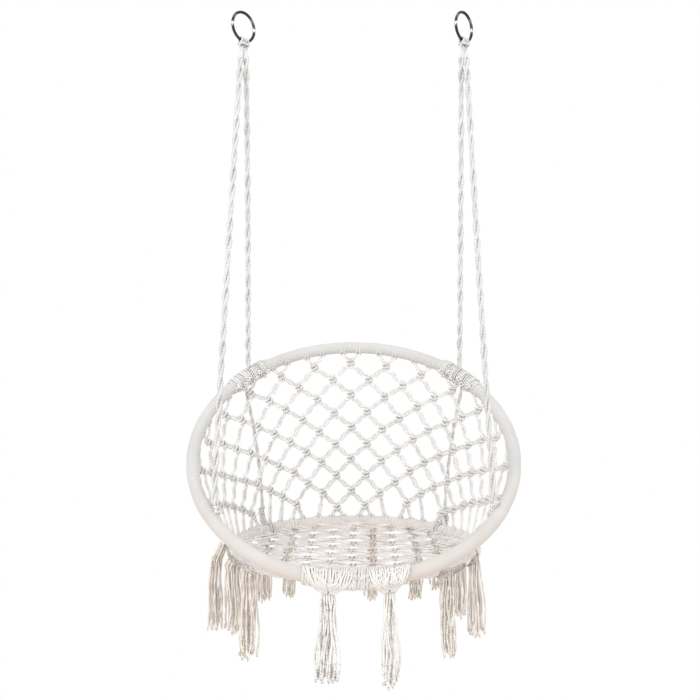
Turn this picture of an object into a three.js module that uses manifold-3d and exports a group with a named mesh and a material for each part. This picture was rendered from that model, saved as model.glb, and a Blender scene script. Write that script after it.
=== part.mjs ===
// Hanging chair of knotted cotton cord: a padded hoop leans back over a smaller padded seat ring.
// A knotted net closes the back and sides, a second net is the seat, and tassels hang all round.
// Two steel rings carry four ropes. Millimetres, +Z up, +Y to the back, +X to the right from the front.
// The origin is midway between the two hook points, where the hooks bear inside the rings' tops.

import * as THREE from 'three';
import Module from 'manifold-3d';
import { mergeVertices } from 'three/addons/utils/BufferGeometryUtils.js';

const wasm = await Module();
wasm.setup();

// Frame: two padded rings
const SEAT_RING_OUTER_DIAMETER = 600;
const HOOP_OUTER_DIAMETER = 800;
const HOOP_TILT_DEGREES = 38.7;
const PADDED_TUBE_DIAMETER = 30;
const STEEL_TUBE_DIAMETER = 16;
const STEEL_WALL = 1.5;
const COVER_THICKNESS = 1.5;
const SLEEVE_CLEARANCE = 0.4;
const SLEEVE_END_GAP = 0.6;
const TUBE_SIDES = 8;
const HOOP_STEPS = 36;
const SEAT_RING_STEPS = 28;

// Hanging: rings, hitches and ropes
const HOOK_HEIGHT_OVER_SEAT = 1288;
const HOOK_SPAN = 534;
const HOOK_FORWARD = 6.1;
const HANGING_RING_OUTER_DIAMETER = 76;
const HANGING_RING_WIRE_DIAMETER = 7;
const HANGING_RING_TURN_DEGREES = 49;
const HANGING_RING_STEPS = 24;
const ROPE_DIAMETER = 11;
const ROPE_SPACING = 12;
const ROPE_SIDES = 8;
const STRAND_DIAMETER = 5.5;
const STRAND_SPACING = 6.2;
const HITCH_LOOPS = 4;
const HITCH_LOOP_STEPS = 10;
const HITCH_HEIGHT = 16;
const HITCH_DEPTH = 11;
const SEAT_GAP = 0.4;

// Where the ropes meet the hoop and the seat ring, as angles from the right, counted to the back
const BACK_TIE_DEGREES = 137;
const FRONT_TIE_DEGREES = 212;
const BACK_ROPE_SEAT_DEGREES = 144;
const FRONT_ROPE_SEAT_DEGREES = 182;
const BACK_TIE_LOOPS = 8;
const FRONT_TIE_LOOPS = 4;
const TIE_CORD_DIAMETER = 8;
const TIE_CORD_GAP = 1.2;
const TIE_CLEARANCE = 0.7;
const ROPE_BEHIND_NET = 14;

// Front binding round both padded rings
const BINDING_LOOPS = 14;
const BINDING_CORD_DIAMETER = 13;
const BINDING_CORD_THICKNESS = 5.5;
const BINDING_CORD_GAP = 2.4;
const BINDING_CLEARANCE = 1.7;
const BINDING_CENTRE_X = 3;

// Back net, hung from the hoop
const NET_COLUMNS = 17;
const NET_PITCH_DEGREES = 15.5;
const NET_MIDDLE_DEGREES = 91.3;
const NET_LEG_SPREAD_DEGREES = 3.3;
const NET_FIRST_KNOT = 45;
const NET_ROW = 43.5;
const NET_WAIST = 16;
const NET_CORD_WIDTH = 6.4;
const NET_CORD_THICKNESS = 4.4;
const NET_KNOT_SWELL = 2.4;
const NET_LAST_LEG = 26;
const HOOP_LOOP_WIDTH = 6;
const HOOP_LOOP_THICKNESS = 4.5;
const HOOP_LOOP_CLEARANCE = 0.6;
const NET_LEG_MARGIN = 3.3;

// Seat net, cords running left and right
const SEAT_NET_COLUMN = 50.4;
const SEAT_NET_ROW = 37.5;
const SEAT_NET_FIRST_COLUMN_X = 48;
const SEAT_NET_KNOT_MARGIN = 37;
const SEAT_NET_END_MARGIN = 2.6;
const SEAT_NET_CELLS = 6;

// Tassels: angle round the seat ring, and depth of the tips under the seat plane as a share of TASSEL_DEPTH
const TASSEL_DEPTH = 210;
const TASSEL_DEGREES = [180, 191, 213.7, 259.8, 285.3, 317, 355, 20, 39, 54, 80, 128, 146];
const TASSEL_DEPTH_SHARES = [0.96, 0.94, 1, 1.03, 1.08, 0.95, 1, 0.96, 0.73, 0.93, 1, 0.87, 0.84];
const TASSEL_OUTBOARD = 0;
const TASSEL_OUTSET = 26;
const TASSEL_TOP_WIDTH = 24;
const TASSEL_HEAD_WIDTH = 32;
const TASSEL_NECK_WIDTH = 28;
const TASSEL_SKIRT_WIDTH = 40;
const TASSEL_HEAD_HEIGHT = 26;
const TASSEL_NECK_HEIGHT = 12;
const TASSEL_FLUTES = 6;
const TASSEL_FLUTE_SHARE = 0.72;
// Front tassels by their place in the list: width of the drawn cords, shift of their middle, clearance
const GATHERS = [3, 4];
const GATHER_WIDTHS = [80, 60];
const GATHER_SHIFTS = [-11, -4];
const GATHER_GAPS = [0.3, 0.8];
const GATHER_THICKNESS = 6;
const GATHER_TOP_DEGREES = 70;
const GATHER_LEAVE_DEGREES = -40;
const GATHER_STEPS = 6;
const GATHER_FULL_SHARE = 0.7;
const GATHER_NECK_DEPTH = 36;

// How finely small forms are drawn
const STRAND_SIDES = 6;
const TIE_SIDES = 4;
const BINDING_STEPS = 10;
const ROPE_DOME_SHARES = [[-0.92, 0.38], [-0.6, 0.8], [0, 1]];
const ROPE_END_SHARES = [[0, 1]];
const KNOT_CORNER_SHARE = 1 / 3;
const NORMAL_STEP = 1;
const HALVINGS = 30;

// Derived sizes
const tubeRadius = PADDED_TUBE_DIAMETER / 2;
const steelRadius = STEEL_TUBE_DIAMETER / 2;
const seatRadius = SEAT_RING_OUTER_DIAMETER / 2 - tubeRadius;
const hoopRadius = HOOP_OUTER_DIAMETER / 2 - tubeRadius;
const tilt = THREE.MathUtils.degToRad(HOOP_TILT_DEGREES);
const tubeSpacing = PADDED_TUBE_DIAMETER + SLEEVE_CLEARANCE;
const hoopCentre = new THREE.Vector3(
  0,
  hoopRadius * Math.cos(tilt) - seatRadius - tubeSpacing,
  hoopRadius * Math.sin(tilt),
);
const hoopNormal = new THREE.Vector3(0, -Math.sin(tilt), Math.cos(tilt));
const up = new THREE.Vector3(0, 0, 1);
const bindingHalfSpan = (BINDING_LOOPS * (BINDING_CORD_DIAMETER + BINDING_CORD_GAP)) / 2;
const tieCordRadius = TIE_CORD_DIAMETER / 2;
const tieOuterRadius = tubeRadius + TIE_CLEARANCE + TIE_CORD_DIAMETER;
const wireRadius = HANGING_RING_WIRE_DIAMETER / 2;
const hangingRadius = HANGING_RING_OUTER_DIAMETER / 2 - wireRadius;
const strandRadius = STRAND_DIAMETER / 2;
const ringCentreZ = -(hangingRadius - wireRadius);
const ringBottomZ = ringCentreZ - hangingRadius;
const hitchTopZ = ringBottomZ - wireRadius - STRAND_DIAMETER - SEAT_GAP;
const hitchBottomZ = hitchTopZ - HITCH_HEIGHT;
const ropePivotZ = hitchBottomZ - SEAT_GAP - ROPE_DIAMETER / 2;
const tiePitchDegrees = THREE.MathUtils.radToDeg((TIE_CORD_DIAMETER + TIE_CORD_GAP) / hoopRadius);

const cotton = new THREE.MeshStandardMaterial({ color: 0xe8e3da, roughness: 0.95, metalness: 0 });
const ropeCotton = new THREE.MeshStandardMaterial({ color: 0xebe7df, roughness: 0.95, metalness: 0 });
const coverCloth = new THREE.MeshStandardMaterial({ color: 0xe3ddd6, roughness: 0.9, metalness: 0 });
const tasselCotton = new THREE.MeshStandardMaterial({ color: 0xe2dacd, roughness: 0.95, metalness: 0 });
const foam = new THREE.MeshStandardMaterial({ color: 0xf0ede4, roughness: 1, metalness: 0 });
const steel = new THREE.MeshStandardMaterial({ color: 0x3c3e40, roughness: 0.55, metalness: 0.8 });
const chrome = new THREE.MeshStandardMaterial({ color: 0xbfc2c4, roughness: 0.12, metalness: 1 });

const degrees = (value) => THREE.MathUtils.degToRad(value);

// A point of the hoop's centreline, and the outward direction there
function hoopRadial(angle) {
  return new THREE.Vector3(
    Math.cos(angle),
    Math.sin(angle) * Math.cos(tilt),
    Math.sin(angle) * Math.sin(tilt),
  );
}

function hoopAngleOf(point) {
  const local = point.clone().sub(hoopCentre);
  return Math.atan2(local.dot(hoopRadial(Math.PI / 2)), local.dot(hoopRadial(0)));
}

// Each padded ring is made of straight steps, and what is tied to it follows them
function steppedRadius(angle, radius, steps) {
  const step = (2 * Math.PI) / steps;
  const within = THREE.MathUtils.euclideanModulo(angle + Math.PI / 2, step) - step / 2;
  return (radius * Math.cos(step / 2)) / Math.cos(within);
}

function hoopPoint(angle) {
  const radius = steppedRadius(angle, hoopRadius, HOOP_STEPS);
  return hoopCentre.clone().addScaledVector(hoopRadial(angle), radius);
}

function seatPoint(angle) {
  const radius = steppedRadius(angle, seatRadius, SEAT_RING_STEPS);
  return new THREE.Vector3(Math.cos(angle), Math.sin(angle), 0).multiplyScalar(radius);
}

// Closed body from triangles given by corner points; the faces are turned to point outwards
function bodyFromTriangles(points) {
  const flat = new Float32Array(points.length * 3);
  let volume = 0;
  for (let i = 0; i < points.length; i += 3) {
    volume += points[i].dot(new THREE.Vector3().crossVectors(points[i + 1], points[i + 2]));
  }
  points.forEach((point, index) => {
    const corner = index % 3;
    const swapped = volume < 0 && corner > 0 ? index + (corner === 1 ? 1 : -1) : index;
    point.toArray(flat, swapped * 3);
  });
  const geometry = new THREE.BufferGeometry();
  geometry.setAttribute('position', new THREE.BufferAttribute(flat, 3));
  return geometry;
}

// Skin over a row of like outlines, closed in a circle or capped at both ends
function skin(outlines, closed = false) {
  const corners = [];
  const count = outlines[0].length;
  const spans = closed ? outlines.length : outlines.length - 1;
  for (let i = 0; i < spans; i += 1) {
    const here = outlines[i];
    const next = outlines[(i + 1) % outlines.length];
    for (let j = 0; j < count; j += 1) {
      const k = (j + 1) % count;
      corners.push(here[j], here[k], next[k], here[j], next[k], next[j]);
    }
  }
  if (!closed) {
    for (const [outline, last] of [[outlines[0], false], [outlines[outlines.length - 1], true]]) {
      const centre = new THREE.Vector3();
      outline.forEach((point) => centre.addScaledVector(point, 1 / count));
      for (let j = 0; j < count; j += 1) {
        const k = (j + 1) % count;
        const face = last ? [centre, outline[j], outline[k]] : [centre, outline[k], outline[j]];
        corners.push(...face);
      }
    }
  }
  return bodyFromTriangles(corners);
}

// One body from several that run into each other
function joined(geometries) {
  const solids = geometries.map((geometry) => {
    const merged = mergeVertices(geometry);
    return new wasm.Manifold(new wasm.Mesh({
      numProp: 3,
      vertProperties: merged.attributes.position.array,
      triVerts: new Uint32Array(merged.index.array),
    }));
  });
  const mesh = solids.reduce((sum, solid) => sum.add(solid)).getMesh();
  const geometry = new THREE.BufferGeometry();
  geometry.setAttribute('position', new THREE.BufferAttribute(mesh.vertProperties, mesh.numProp));
  geometry.setIndex(new THREE.BufferAttribute(mesh.triVerts, 1));
  return geometry;
}

// A round outline with the given number of sides, in the plane of two directions
function roundOutline(centre, radius, sides, across, along, turn = 0) {
  return Array.from({ length: sides }, (_, j) => {
    const angle = turn + (j * 2 * Math.PI) / sides;
    return centre.clone()
      .addScaledVector(across, radius * Math.cos(angle))
      .addScaledVector(along, radius * Math.sin(angle));
  });
}

// A sleeve round a ring: its two ends meet at the front, so its hollow is open there
function ringSleeve(ringRadius, innerRadius, outerRadius, sides, steps) {
  const gapAngle = SLEEVE_END_GAP / ringRadius;
  const shells = [outerRadius, innerRadius].map((radius) => (
    Array.from({ length: steps + 1 }, (_, i) => {
      const angle = -Math.PI / 2 + gapAngle / 2 + (i * (2 * Math.PI - gapAngle)) / steps;
      const radial = new THREE.Vector3(Math.cos(angle), Math.sin(angle), 0);
      return roundOutline(radial.clone().multiplyScalar(ringRadius), radius, sides, radial, up);
    })
  ));
  const corners = [];
  shells.forEach((outlines, inner) => {
    for (let i = 0; i < steps; i += 1) {
      for (let j = 0; j < sides; j += 1) {
        const k = (j + 1) % sides;
        const quad = [outlines[i][j], outlines[i + 1][j], outlines[i + 1][k], outlines[i][k]];
        if (inner) quad.reverse();
        corners.push(quad[0], quad[1], quad[2], quad[0], quad[2], quad[3]);
      }
    }
  });
  for (const end of [0, steps]) {
    for (let j = 0; j < sides; j += 1) {
      const k = (j + 1) % sides;
      const quad = [shells[0][end][j], shells[0][end][k], shells[1][end][k], shells[1][end][j]];
      if (end === steps) quad.reverse();
      corners.push(quad[0], quad[1], quad[2], quad[0], quad[2], quad[3]);
    }
  }
  return bodyFromTriangles(corners);
}

// A solid ring of round bar lying flat, with its corners in line with the sleeves round it
function ringBar(ringRadius, barRadius, sides, steps) {
  const outlines = Array.from({ length: steps }, (_, i) => {
    const angle = -Math.PI / 2 + (i * 2 * Math.PI) / steps;
    const radial = new THREE.Vector3(Math.cos(angle), Math.sin(angle), 0);
    return roundOutline(radial.clone().multiplyScalar(ringRadius), barRadius, sides, radial, up);
  });
  return skin(outlines, true);
}

// A net of flat cord pairs. Each knot has a place and the surface's normal there; each cord joins two
// knots. Neighbouring cords share their corners at a knot, so that the whole net is one closed body.
function netBody(knots, cords, width, thickness, swell) {
  const around = knots.map(() => []);
  cords.forEach(([a, b]) => {
    around[a].push(b);
    around[b].push(a);
  });
  const corner = knots.map(() => new Map());
  const triangles = [];
  knots.forEach((knot, index) => {
    const normal = knot.normal;
    const first = knots[around[index][0]].place.clone().sub(knot.place);
    const east = first.addScaledVector(normal, -first.dot(normal)).normalize();
    const north = new THREE.Vector3().crossVectors(normal, east);
    const rays = around[index].map((other) => {
      const away = knots[other].place.clone().sub(knot.place);
      return { other, angle: Math.atan2(away.dot(north), away.dot(east)) };
    });
    rays.sort((a, b) => a.angle - b.angle);
    const place = (angle, reach, side) => knot.place.clone()
      .addScaledVector(east, Math.cos(angle) * reach)
      .addScaledVector(north, Math.sin(angle) * reach)
      .addScaledVector(normal, (side * thickness) / 2);
    const rim = [];
    if (rays.length === 1) {
      rim.push(...[1, -1].map((turn) => (
        [1, -1].map((side) => place(rays[0].angle + (turn * Math.PI) / 2, width / 2, side))
      )));
      corner[index].set(rays[0].other, { left: rim[0], right: rim[1] });
      triangles.push(rim[0][0], rim[1][1], rim[1][0], rim[0][0], rim[0][1], rim[1][1]);
      return;
    }
    rays.forEach((ray, i) => {
      const next = rays[(i + 1) % rays.length];
      let opening = next.angle - ray.angle;
      if (opening <= 0) opening += 2 * Math.PI;
      const reach = width / 2 / Math.max(Math.sin(opening / 2), KNOT_CORNER_SHARE);
      rim.push([1, -1].map((side) => place(ray.angle + opening / 2, reach, side)));
    });
    rays.forEach((ray, i) => {
      const before = (i + rays.length - 1) % rays.length;
      corner[index].set(ray.other, { left: rim[i], right: rim[before] });
    });
    if (rays.length > 2) {
      const top = knot.place.clone().addScaledVector(normal, thickness / 2 + swell);
      const bottom = knot.place.clone().addScaledVector(normal, -thickness / 2 - swell);
      rim.forEach((here, i) => {
        const next = rim[(i + 1) % rim.length];
        triangles.push(top, here[0], next[0], bottom, next[1], here[1]);
      });
    }
  });
  cords.forEach(([a, b]) => {
    const near = corner[a].get(b);
    const far = corner[b].get(a);
    const [nl, nr, fl, fr] = [near.left, near.right, far.right, far.left];
    triangles.push(nr[0], fr[0], fl[0], nr[0], fl[0], nl[0]);
    triangles.push(nr[1], fl[1], fr[1], nr[1], nl[1], fl[1]);
    triangles.push(nl[0], fl[0], fl[1], nl[0], fl[1], nl[1]);
    triangles.push(nr[0], fr[1], fr[0], nr[0], nr[1], fr[1]);
  });
  return bodyFromTriangles(triangles);
}

// Back net: the knots lie on lines from the hoop to the seat ring, drawn in at the waist
function netPoint(angle, distance) {
  const high = hoopPoint(angle);
  const low = seatPoint(angle);
  const length = high.distanceTo(low);
  const share = distance / length;
  const inward = new THREE.Vector3(-Math.cos(angle), -Math.sin(angle), 0);
  return high.lerp(low, share)
    .addScaledVector(inward, NET_WAIST * Math.sin(Math.PI * share) * (length / (2 * hoopCentre.z)));
}

function netLength(angle) {
  return hoopPoint(angle).distanceTo(seatPoint(angle));
}

function netNormal(angle, distance) {
  const step = NORMAL_STEP / seatRadius;
  const across = netPoint(angle + step, distance).sub(netPoint(angle - step, distance));
  const down = netPoint(angle, distance + NORMAL_STEP).sub(netPoint(angle, distance - NORMAL_STEP));
  return across.cross(down).normalize();
}

// Distance of a point from a ring's centreline, measured as corner radius of the many-sided tube there
function fromRing(point, centre, normal, radiusAt) {
  const local = point.clone().sub(centre);
  const height = local.dot(normal);
  const reach = local.addScaledVector(normal, -height).length() - radiusAt;
  return Math.hypot(reach, height) / steppedRadius(Math.atan2(height, reach), 1, TUBE_SIDES);
}

// How far down its line a net cord is, where it is a given distance from a ring's centreline
function lineMeets(angle, from, to, distanceAt, wanted) {
  let near = from;
  let far = to;
  for (let i = 0; i < HALVINGS; i += 1) {
    const middle = (near + far) / 2;
    if (distanceAt(netPoint(angle, middle)) < wanted) near = middle;
    else far = middle;
  }
  return far;
}

const fromHoop = (point) => (
  fromRing(point, hoopCentre, hoopNormal, steppedRadius(hoopAngleOf(point), hoopRadius, HOOP_STEPS))
);
const fromSeatRing = (point) => {
  const radius = steppedRadius(Math.atan2(point.y, point.x), seatRadius, SEAT_RING_STEPS);
  return fromRing(point, new THREE.Vector3(), up, radius);
};

// The four ropes: each runs from under its hitch to the hoop, where its tie is wound, and on to the seat ring
const ropes = [];
for (const [side, name] of [[-1, 'left'], [1, 'right']]) {
  const mirror = (value) => degrees(side < 0 ? value : 180 - value);
  for (const [end, tieDegrees, footDegrees, loops, offset] of [
    ['front', FRONT_TIE_DEGREES, FRONT_ROPE_SEAT_DEGREES, FRONT_TIE_LOOPS, side],
    ['back', BACK_TIE_DEGREES, BACK_ROPE_SEAT_DEGREES, BACK_TIE_LOOPS, -side],
  ]) {
    const top = new THREE.Vector3(
      (side * HOOK_SPAN + offset * ROPE_SPACING) / 2,
      -HOOK_FORWARD,
      ropePivotZ + HOOK_HEIGHT_OVER_SEAT,
    );
    const aim = hoopPoint(mirror(tieDegrees));
    const upward = top.clone().sub(aim).normalize();
    const meet = ropeClears(aim, upward, fromHoop, tieOuterRadius + SEAT_GAP);
    const tieAngle = hoopAngleOf(meet);
    ropes.push({ name: `${name}_${end}`, top, meet, tieAngle, loops, foot: seatPoint(mirror(footDegrees)) });
  }
}

// Where a cord of the net ends under the hoop: outside a rope's tie, or inside its own loop
function hoopEnd(angle) {
  const value = THREE.MathUtils.radToDeg(angle);
  const tied = ropes.some(({ tieAngle, loops }) => {
    const away = THREE.MathUtils.euclideanModulo(value - THREE.MathUtils.radToDeg(tieAngle) + 180, 360) - 180;
    return Math.abs(away) < (tiePitchDegrees * (loops + 1)) / 2;
  });
  const away = (tied ? tieOuterRadius : tubeRadius) + SEAT_GAP + NET_LEG_MARGIN;
  return { tied, distance: lineMeets(angle, 0, netLength(angle) / 2, fromHoop, away) };
}

function buildBackNet() {
  const loopAngles = [];
  const knots = [];
  const cords = [];
  const index = new Map();
  const halfPitch = degrees(NET_PITCH_DEGREES / 2);
  const spread = degrees(NET_LEG_SPREAD_DEGREES);
  const add = (angle, distance) => {
    knots.push({ place: netPoint(angle, distance), normal: netNormal(angle, distance) });
    return knots.length - 1;
  };
  const last = NET_COLUMNS - 1;
  const angleOf = (half) => degrees(NET_MIDDLE_DEGREES) + (half - last) * halfPitch;
  const distanceOf = (row) => NET_FIRST_KNOT + row * NET_ROW;
  const rows = Math.ceil((2 * hoopCentre.z) / NET_ROW);
  for (let row = 0; row < rows; row += 1) {
    for (let half = row % 2; half <= 2 * last; half += 2) {
      const angle = angleOf(half);
      const onNet = distanceOf(row) < netLength(angle);
      if (onNet && fromSeatRing(netPoint(angle, distanceOf(row))) > tubeRadius + NET_LAST_LEG) {
        index.set(`${half},${row}`, add(angle, distanceOf(row)));
      }
    }
  }
  for (const [key, knot] of index) {
    const [half, row] = key.split(',').map(Number);
    const angle = angleOf(half);
    if (row === 0) {
      for (const side of [-1, 1]) {
        const end = hoopEnd(angle + side * spread);
        const top = add(angle + side * spread, end.distance);
        if (!end.tied) loopAngles.push(hoopAngleOf(knots[top].place));
        cords.push([top, knot]);
      }
    }
    for (const side of [-1, 1]) {
      const lower = index.get(`${half + side},${row + 1}`);
      if (lower !== undefined) {
        cords.push([knot, lower]);
      } else if (half + side >= 0 && half + side <= 2 * last) {
        const foot = angle + side * spread;
        const away = tubeRadius + SEAT_GAP + NET_CORD_WIDTH / 2;
        const whole = netLength(foot);
        cords.push([knot, add(foot, lineMeets(foot, whole, whole / 2, fromSeatRing, away))]);
      }
    }
  }
  const net = netBody(knots, cords, NET_CORD_WIDTH, NET_CORD_THICKNESS, NET_KNOT_SWELL);
  return joined([net, ...hoopLoops(loopAngles)]);
}

// Cord loops round the hoop, from which the back net hangs
function hoopLoops(loopAngles) {
  const inner = tubeRadius + HOOP_LOOP_CLEARANCE;
  const outer = inner + HOOP_LOOP_THICKNESS;
  return loopAngles.map((angle) => {
    const radial = hoopRadial(angle);
    const along = new THREE.Vector3().crossVectors(hoopNormal, radial);
    const outlines = Array.from({ length: TUBE_SIDES }, (_, j) => {
      const turn = (j * 2 * Math.PI) / TUBE_SIDES;
      const out = radial.clone().multiplyScalar(Math.cos(turn)).addScaledVector(hoopNormal, Math.sin(turn));
      const base = hoopPoint(angle).addScaledVector(out, inner);
      return [
        base.clone().addScaledVector(along, -HOOP_LOOP_WIDTH / 2),
        base.clone().addScaledVector(along, HOOP_LOOP_WIDTH / 2),
        hoopPoint(angle).addScaledVector(out, outer),
      ];
    });
    return skin(outlines, true);
  });
}

// Seat net: cords run left and right and cross at knots in staggered columns
function buildSeatNet() {
  const knots = [];
  const cords = [];
  const index = new Map();
  const least = seatRadius * Math.cos(Math.PI / SEAT_RING_STEPS);
  const edge = least - tubeRadius - SEAT_GAP - SEAT_NET_END_MARGIN;
  const placeOf = (column, row) => new THREE.Vector3(
    SEAT_NET_FIRST_COLUMN_X + column * SEAT_NET_COLUMN,
    row * SEAT_NET_ROW,
    0,
  );
  const add = (place) => {
    knots.push({ place, normal: up });
    return knots.length - 1;
  };
  for (let row = -SEAT_NET_CELLS; row <= SEAT_NET_CELLS; row += 1) {
    for (let column = -2 * SEAT_NET_CELLS; column <= SEAT_NET_CELLS; column += 1) {
      const place = placeOf(column, row);
      const kept = (column + row) % 2 === 0 && place.length() < edge - SEAT_NET_KNOT_MARGIN;
      if (kept) index.set(`${column},${row}`, add(place));
    }
  }
  const onCircle = (from, to, radius) => {
    const step = to.clone().sub(from).normalize();
    const along = from.dot(step);
    const reach = Math.sqrt(along * along + radius * radius - from.lengthSq()) - along;
    return from.clone().addScaledVector(step, reach);
  };
  const onRing = (from, to) => {
    const end = onCircle(from, to, edge);
    const bound = end.y < 0 && Math.abs(end.x - BINDING_CENTRE_X) < bindingHalfSpan + NET_CORD_WIDTH;
    return bound ? onCircle(from, to, edge - BINDING_CORD_THICKNESS - 2 * BINDING_CLEARANCE) : end;
  };
  for (const [key, knot] of index) {
    const [column, row] = key.split(',').map(Number);
    for (const side of [-1, 1]) {
      for (const rise of [-1, 1]) {
        const other = index.get(`${column + side},${row + rise}`);
        if (other === undefined) {
          cords.push([knot, add(onRing(placeOf(column, row), placeOf(column + side, row + rise)))]);
        } else if (side > 0) {
          cords.push([knot, other]);
        }
      }
    }
  }
  return netBody(knots, cords, NET_CORD_WIDTH, NET_CORD_THICKNESS, NET_KNOT_SWELL);
}

// Least gap between neighbouring turns of a winding, from the points of its route
function leastTurnGap(route, stepsPerTurn, cordWidth) {
  let least = Infinity;
  for (let i = 0; i + stepsPerTurn < route.length; i += 1) {
    least = Math.min(least, route[i].distanceTo(route[i + stepsPerTurn]) - cordWidth);
  }
  return least;
}

// Cord wound round the hoop where a rope is tied on, with both its ends straight
function buildTie(middle, loops) {
  const steps = loops * TUBE_SIDES;
  const outlines = [];
  const route = [];
  for (let i = 0; i <= steps; i += 1) {
    const turn = (i * 2 * Math.PI) / TUBE_SIDES;
    const angle = middle + degrees((i / TUBE_SIDES - loops / 2) * tiePitchDegrees);
    const radial = hoopRadial(angle);
    const out = radial.clone().multiplyScalar(Math.cos(turn)).addScaledVector(hoopNormal, Math.sin(turn));
    const along = new THREE.Vector3().crossVectors(hoopNormal, radial);
    const centre = hoopPoint(angle).addScaledVector(out, tieOuterRadius - tieCordRadius);
    const outlineAt = (place) => (
      roundOutline(place, tieCordRadius * Math.SQRT2, TIE_SIDES, out, along, Math.PI / TIE_SIDES)
    );
    route.push(centre);
    outlines.push(outlineAt(centre));
    if (i === 0 || i === steps) {
      const onward = new THREE.Vector3().crossVectors(along, out).multiplyScalar(i === 0 ? 1 : -1);
      const tail = outlineAt(centre.clone().addScaledVector(onward, TIE_CORD_DIAMETER));
      if (i === 0) outlines.unshift(tail);
      else outlines.push(tail);
    }
  }
  console.log(`tie turns apart ${leastTurnGap(route, TUBE_SIDES, TIE_CORD_DIAMETER).toFixed(2)} mm`);
  return skin(outlines);
}

// How far the binding's outside is from a padded ring's centreline, where the ring leans by a sine
function bindingReach(sine) {
  const lean = Math.abs(Math.asin(sine)) + Math.PI / SEAT_RING_STEPS;
  const inside = (tubeRadius / Math.cos(lean) + BINDING_CLEARANCE) / Math.cos(Math.PI / TUBE_SIDES);
  return inside + BINDING_CORD_THICKNESS;
}

// The two padded rings' centres across the front at one x, with the directions forward and up between them
function bindingPlace(x) {
  const rear = seatPoint(Math.asin(x / seatRadius) - Math.PI / 2);
  const front = hoopPoint(Math.asin(x / hoopRadius) - Math.PI / 2);
  const forward = front.clone().sub(rear).normalize();
  const rise = new THREE.Vector3(1, 0, 0).cross(forward).negate().normalize();
  return { rear, front, forward, rise };
}

// Flat cord wound round both padded rings at the front, where the seat ring meets the hoop
function buildBinding() {
  const pitch = BINDING_CORD_DIAMETER + BINDING_CORD_GAP;
  const steps = BINDING_LOOPS * BINDING_STEPS;
  const outlines = [];
  const route = [];
  for (let i = 0; i <= steps; i += 1) {
    const x = BINDING_CENTRE_X + (i / BINDING_STEPS - BINDING_LOOPS / 2) * pitch;
    const { rear, front, forward, rise } = bindingPlace(x);
    const step = i % BINDING_STEPS;
    const atFront = step < BINDING_STEPS / 2;
    const bend = ((step % (BINDING_STEPS / 2)) / (BINDING_STEPS / 2 - 1) - 1 / 2) * Math.PI;
    const out = forward.clone().multiplyScalar(Math.cos(bend) * (atFront ? 1 : -1))
      .addScaledVector(rise, Math.sin(bend) * (atFront ? 1 : -1));
    const reach = bindingReach(x / (atFront ? hoopRadius : seatRadius)) - BINDING_CORD_THICKNESS / 2;
    const centre = (atFront ? front : rear).clone().addScaledVector(out, reach);
    const halfWidth = new THREE.Vector3(BINDING_CORD_DIAMETER / 2, 0, 0);
    const halfThick = out.clone().multiplyScalar(BINDING_CORD_THICKNESS / 2);
    const outlineAt = (place) => [
      place.clone().sub(halfWidth).sub(halfThick),
      place.clone().add(halfWidth).sub(halfThick),
      place.clone().add(halfWidth).add(halfThick),
      place.clone().sub(halfWidth).add(halfThick),
    ];
    if (i === 0) outlines.push(outlineAt(centre.clone().addScaledVector(forward, -BINDING_CORD_DIAMETER)));
    route.push(centre);
    outlines.push(outlineAt(centre));
  }
  console.log(`binding turns apart ${leastTurnGap(route, BINDING_STEPS, BINDING_CORD_DIAMETER).toFixed(2)} mm`);
  return skin(outlines);
}

// Two directions square to a rope
function ropeSquare(axis) {
  const across = new THREE.Vector3(1, 0, 0).addScaledVector(axis, -axis.x).normalize();
  return [across, new THREE.Vector3().crossVectors(axis, across)];
}

// How far along a line a rope's flat end is wholly clear of what surrounds a padded ring
function ropeClears(origin, axis, distanceAt, wanted) {
  const [across, other] = ropeSquare(axis);
  let near = 0;
  let far = 2 * PADDED_TUBE_DIAMETER + 2 * ROPE_BEHIND_NET;
  for (let i = 0; i < HALVINGS; i += 1) {
    const middle = (near + far) / 2;
    const end = origin.clone().addScaledVector(axis, middle);
    const rim = roundOutline(end, ROPE_DIAMETER / 2, ROPE_SIDES, across, other);
    if (Math.min(...rim.map(distanceAt)) < wanted) near = middle;
    else far = middle;
  }
  return origin.clone().addScaledVector(axis, far);
}

// A straight rope between two points, with a domed top where it turns under its hitch
function buildRope(top, bottom, domed) {
  const axis = bottom.clone().sub(top).normalize();
  const [across, other] = ropeSquare(axis);
  const radius = ROPE_DIAMETER / 2;
  const rings = domed ? ROPE_DOME_SHARES : ROPE_END_SHARES;
  const outlines = rings.map(([rise, share]) => (
    roundOutline(top.clone().addScaledVector(axis, rise * radius), share * radius, ROPE_SIDES, across, other)
  ));
  outlines.push(roundOutline(bottom, radius, ROPE_SIDES, across, other));
  return skin(outlines);
}

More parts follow.
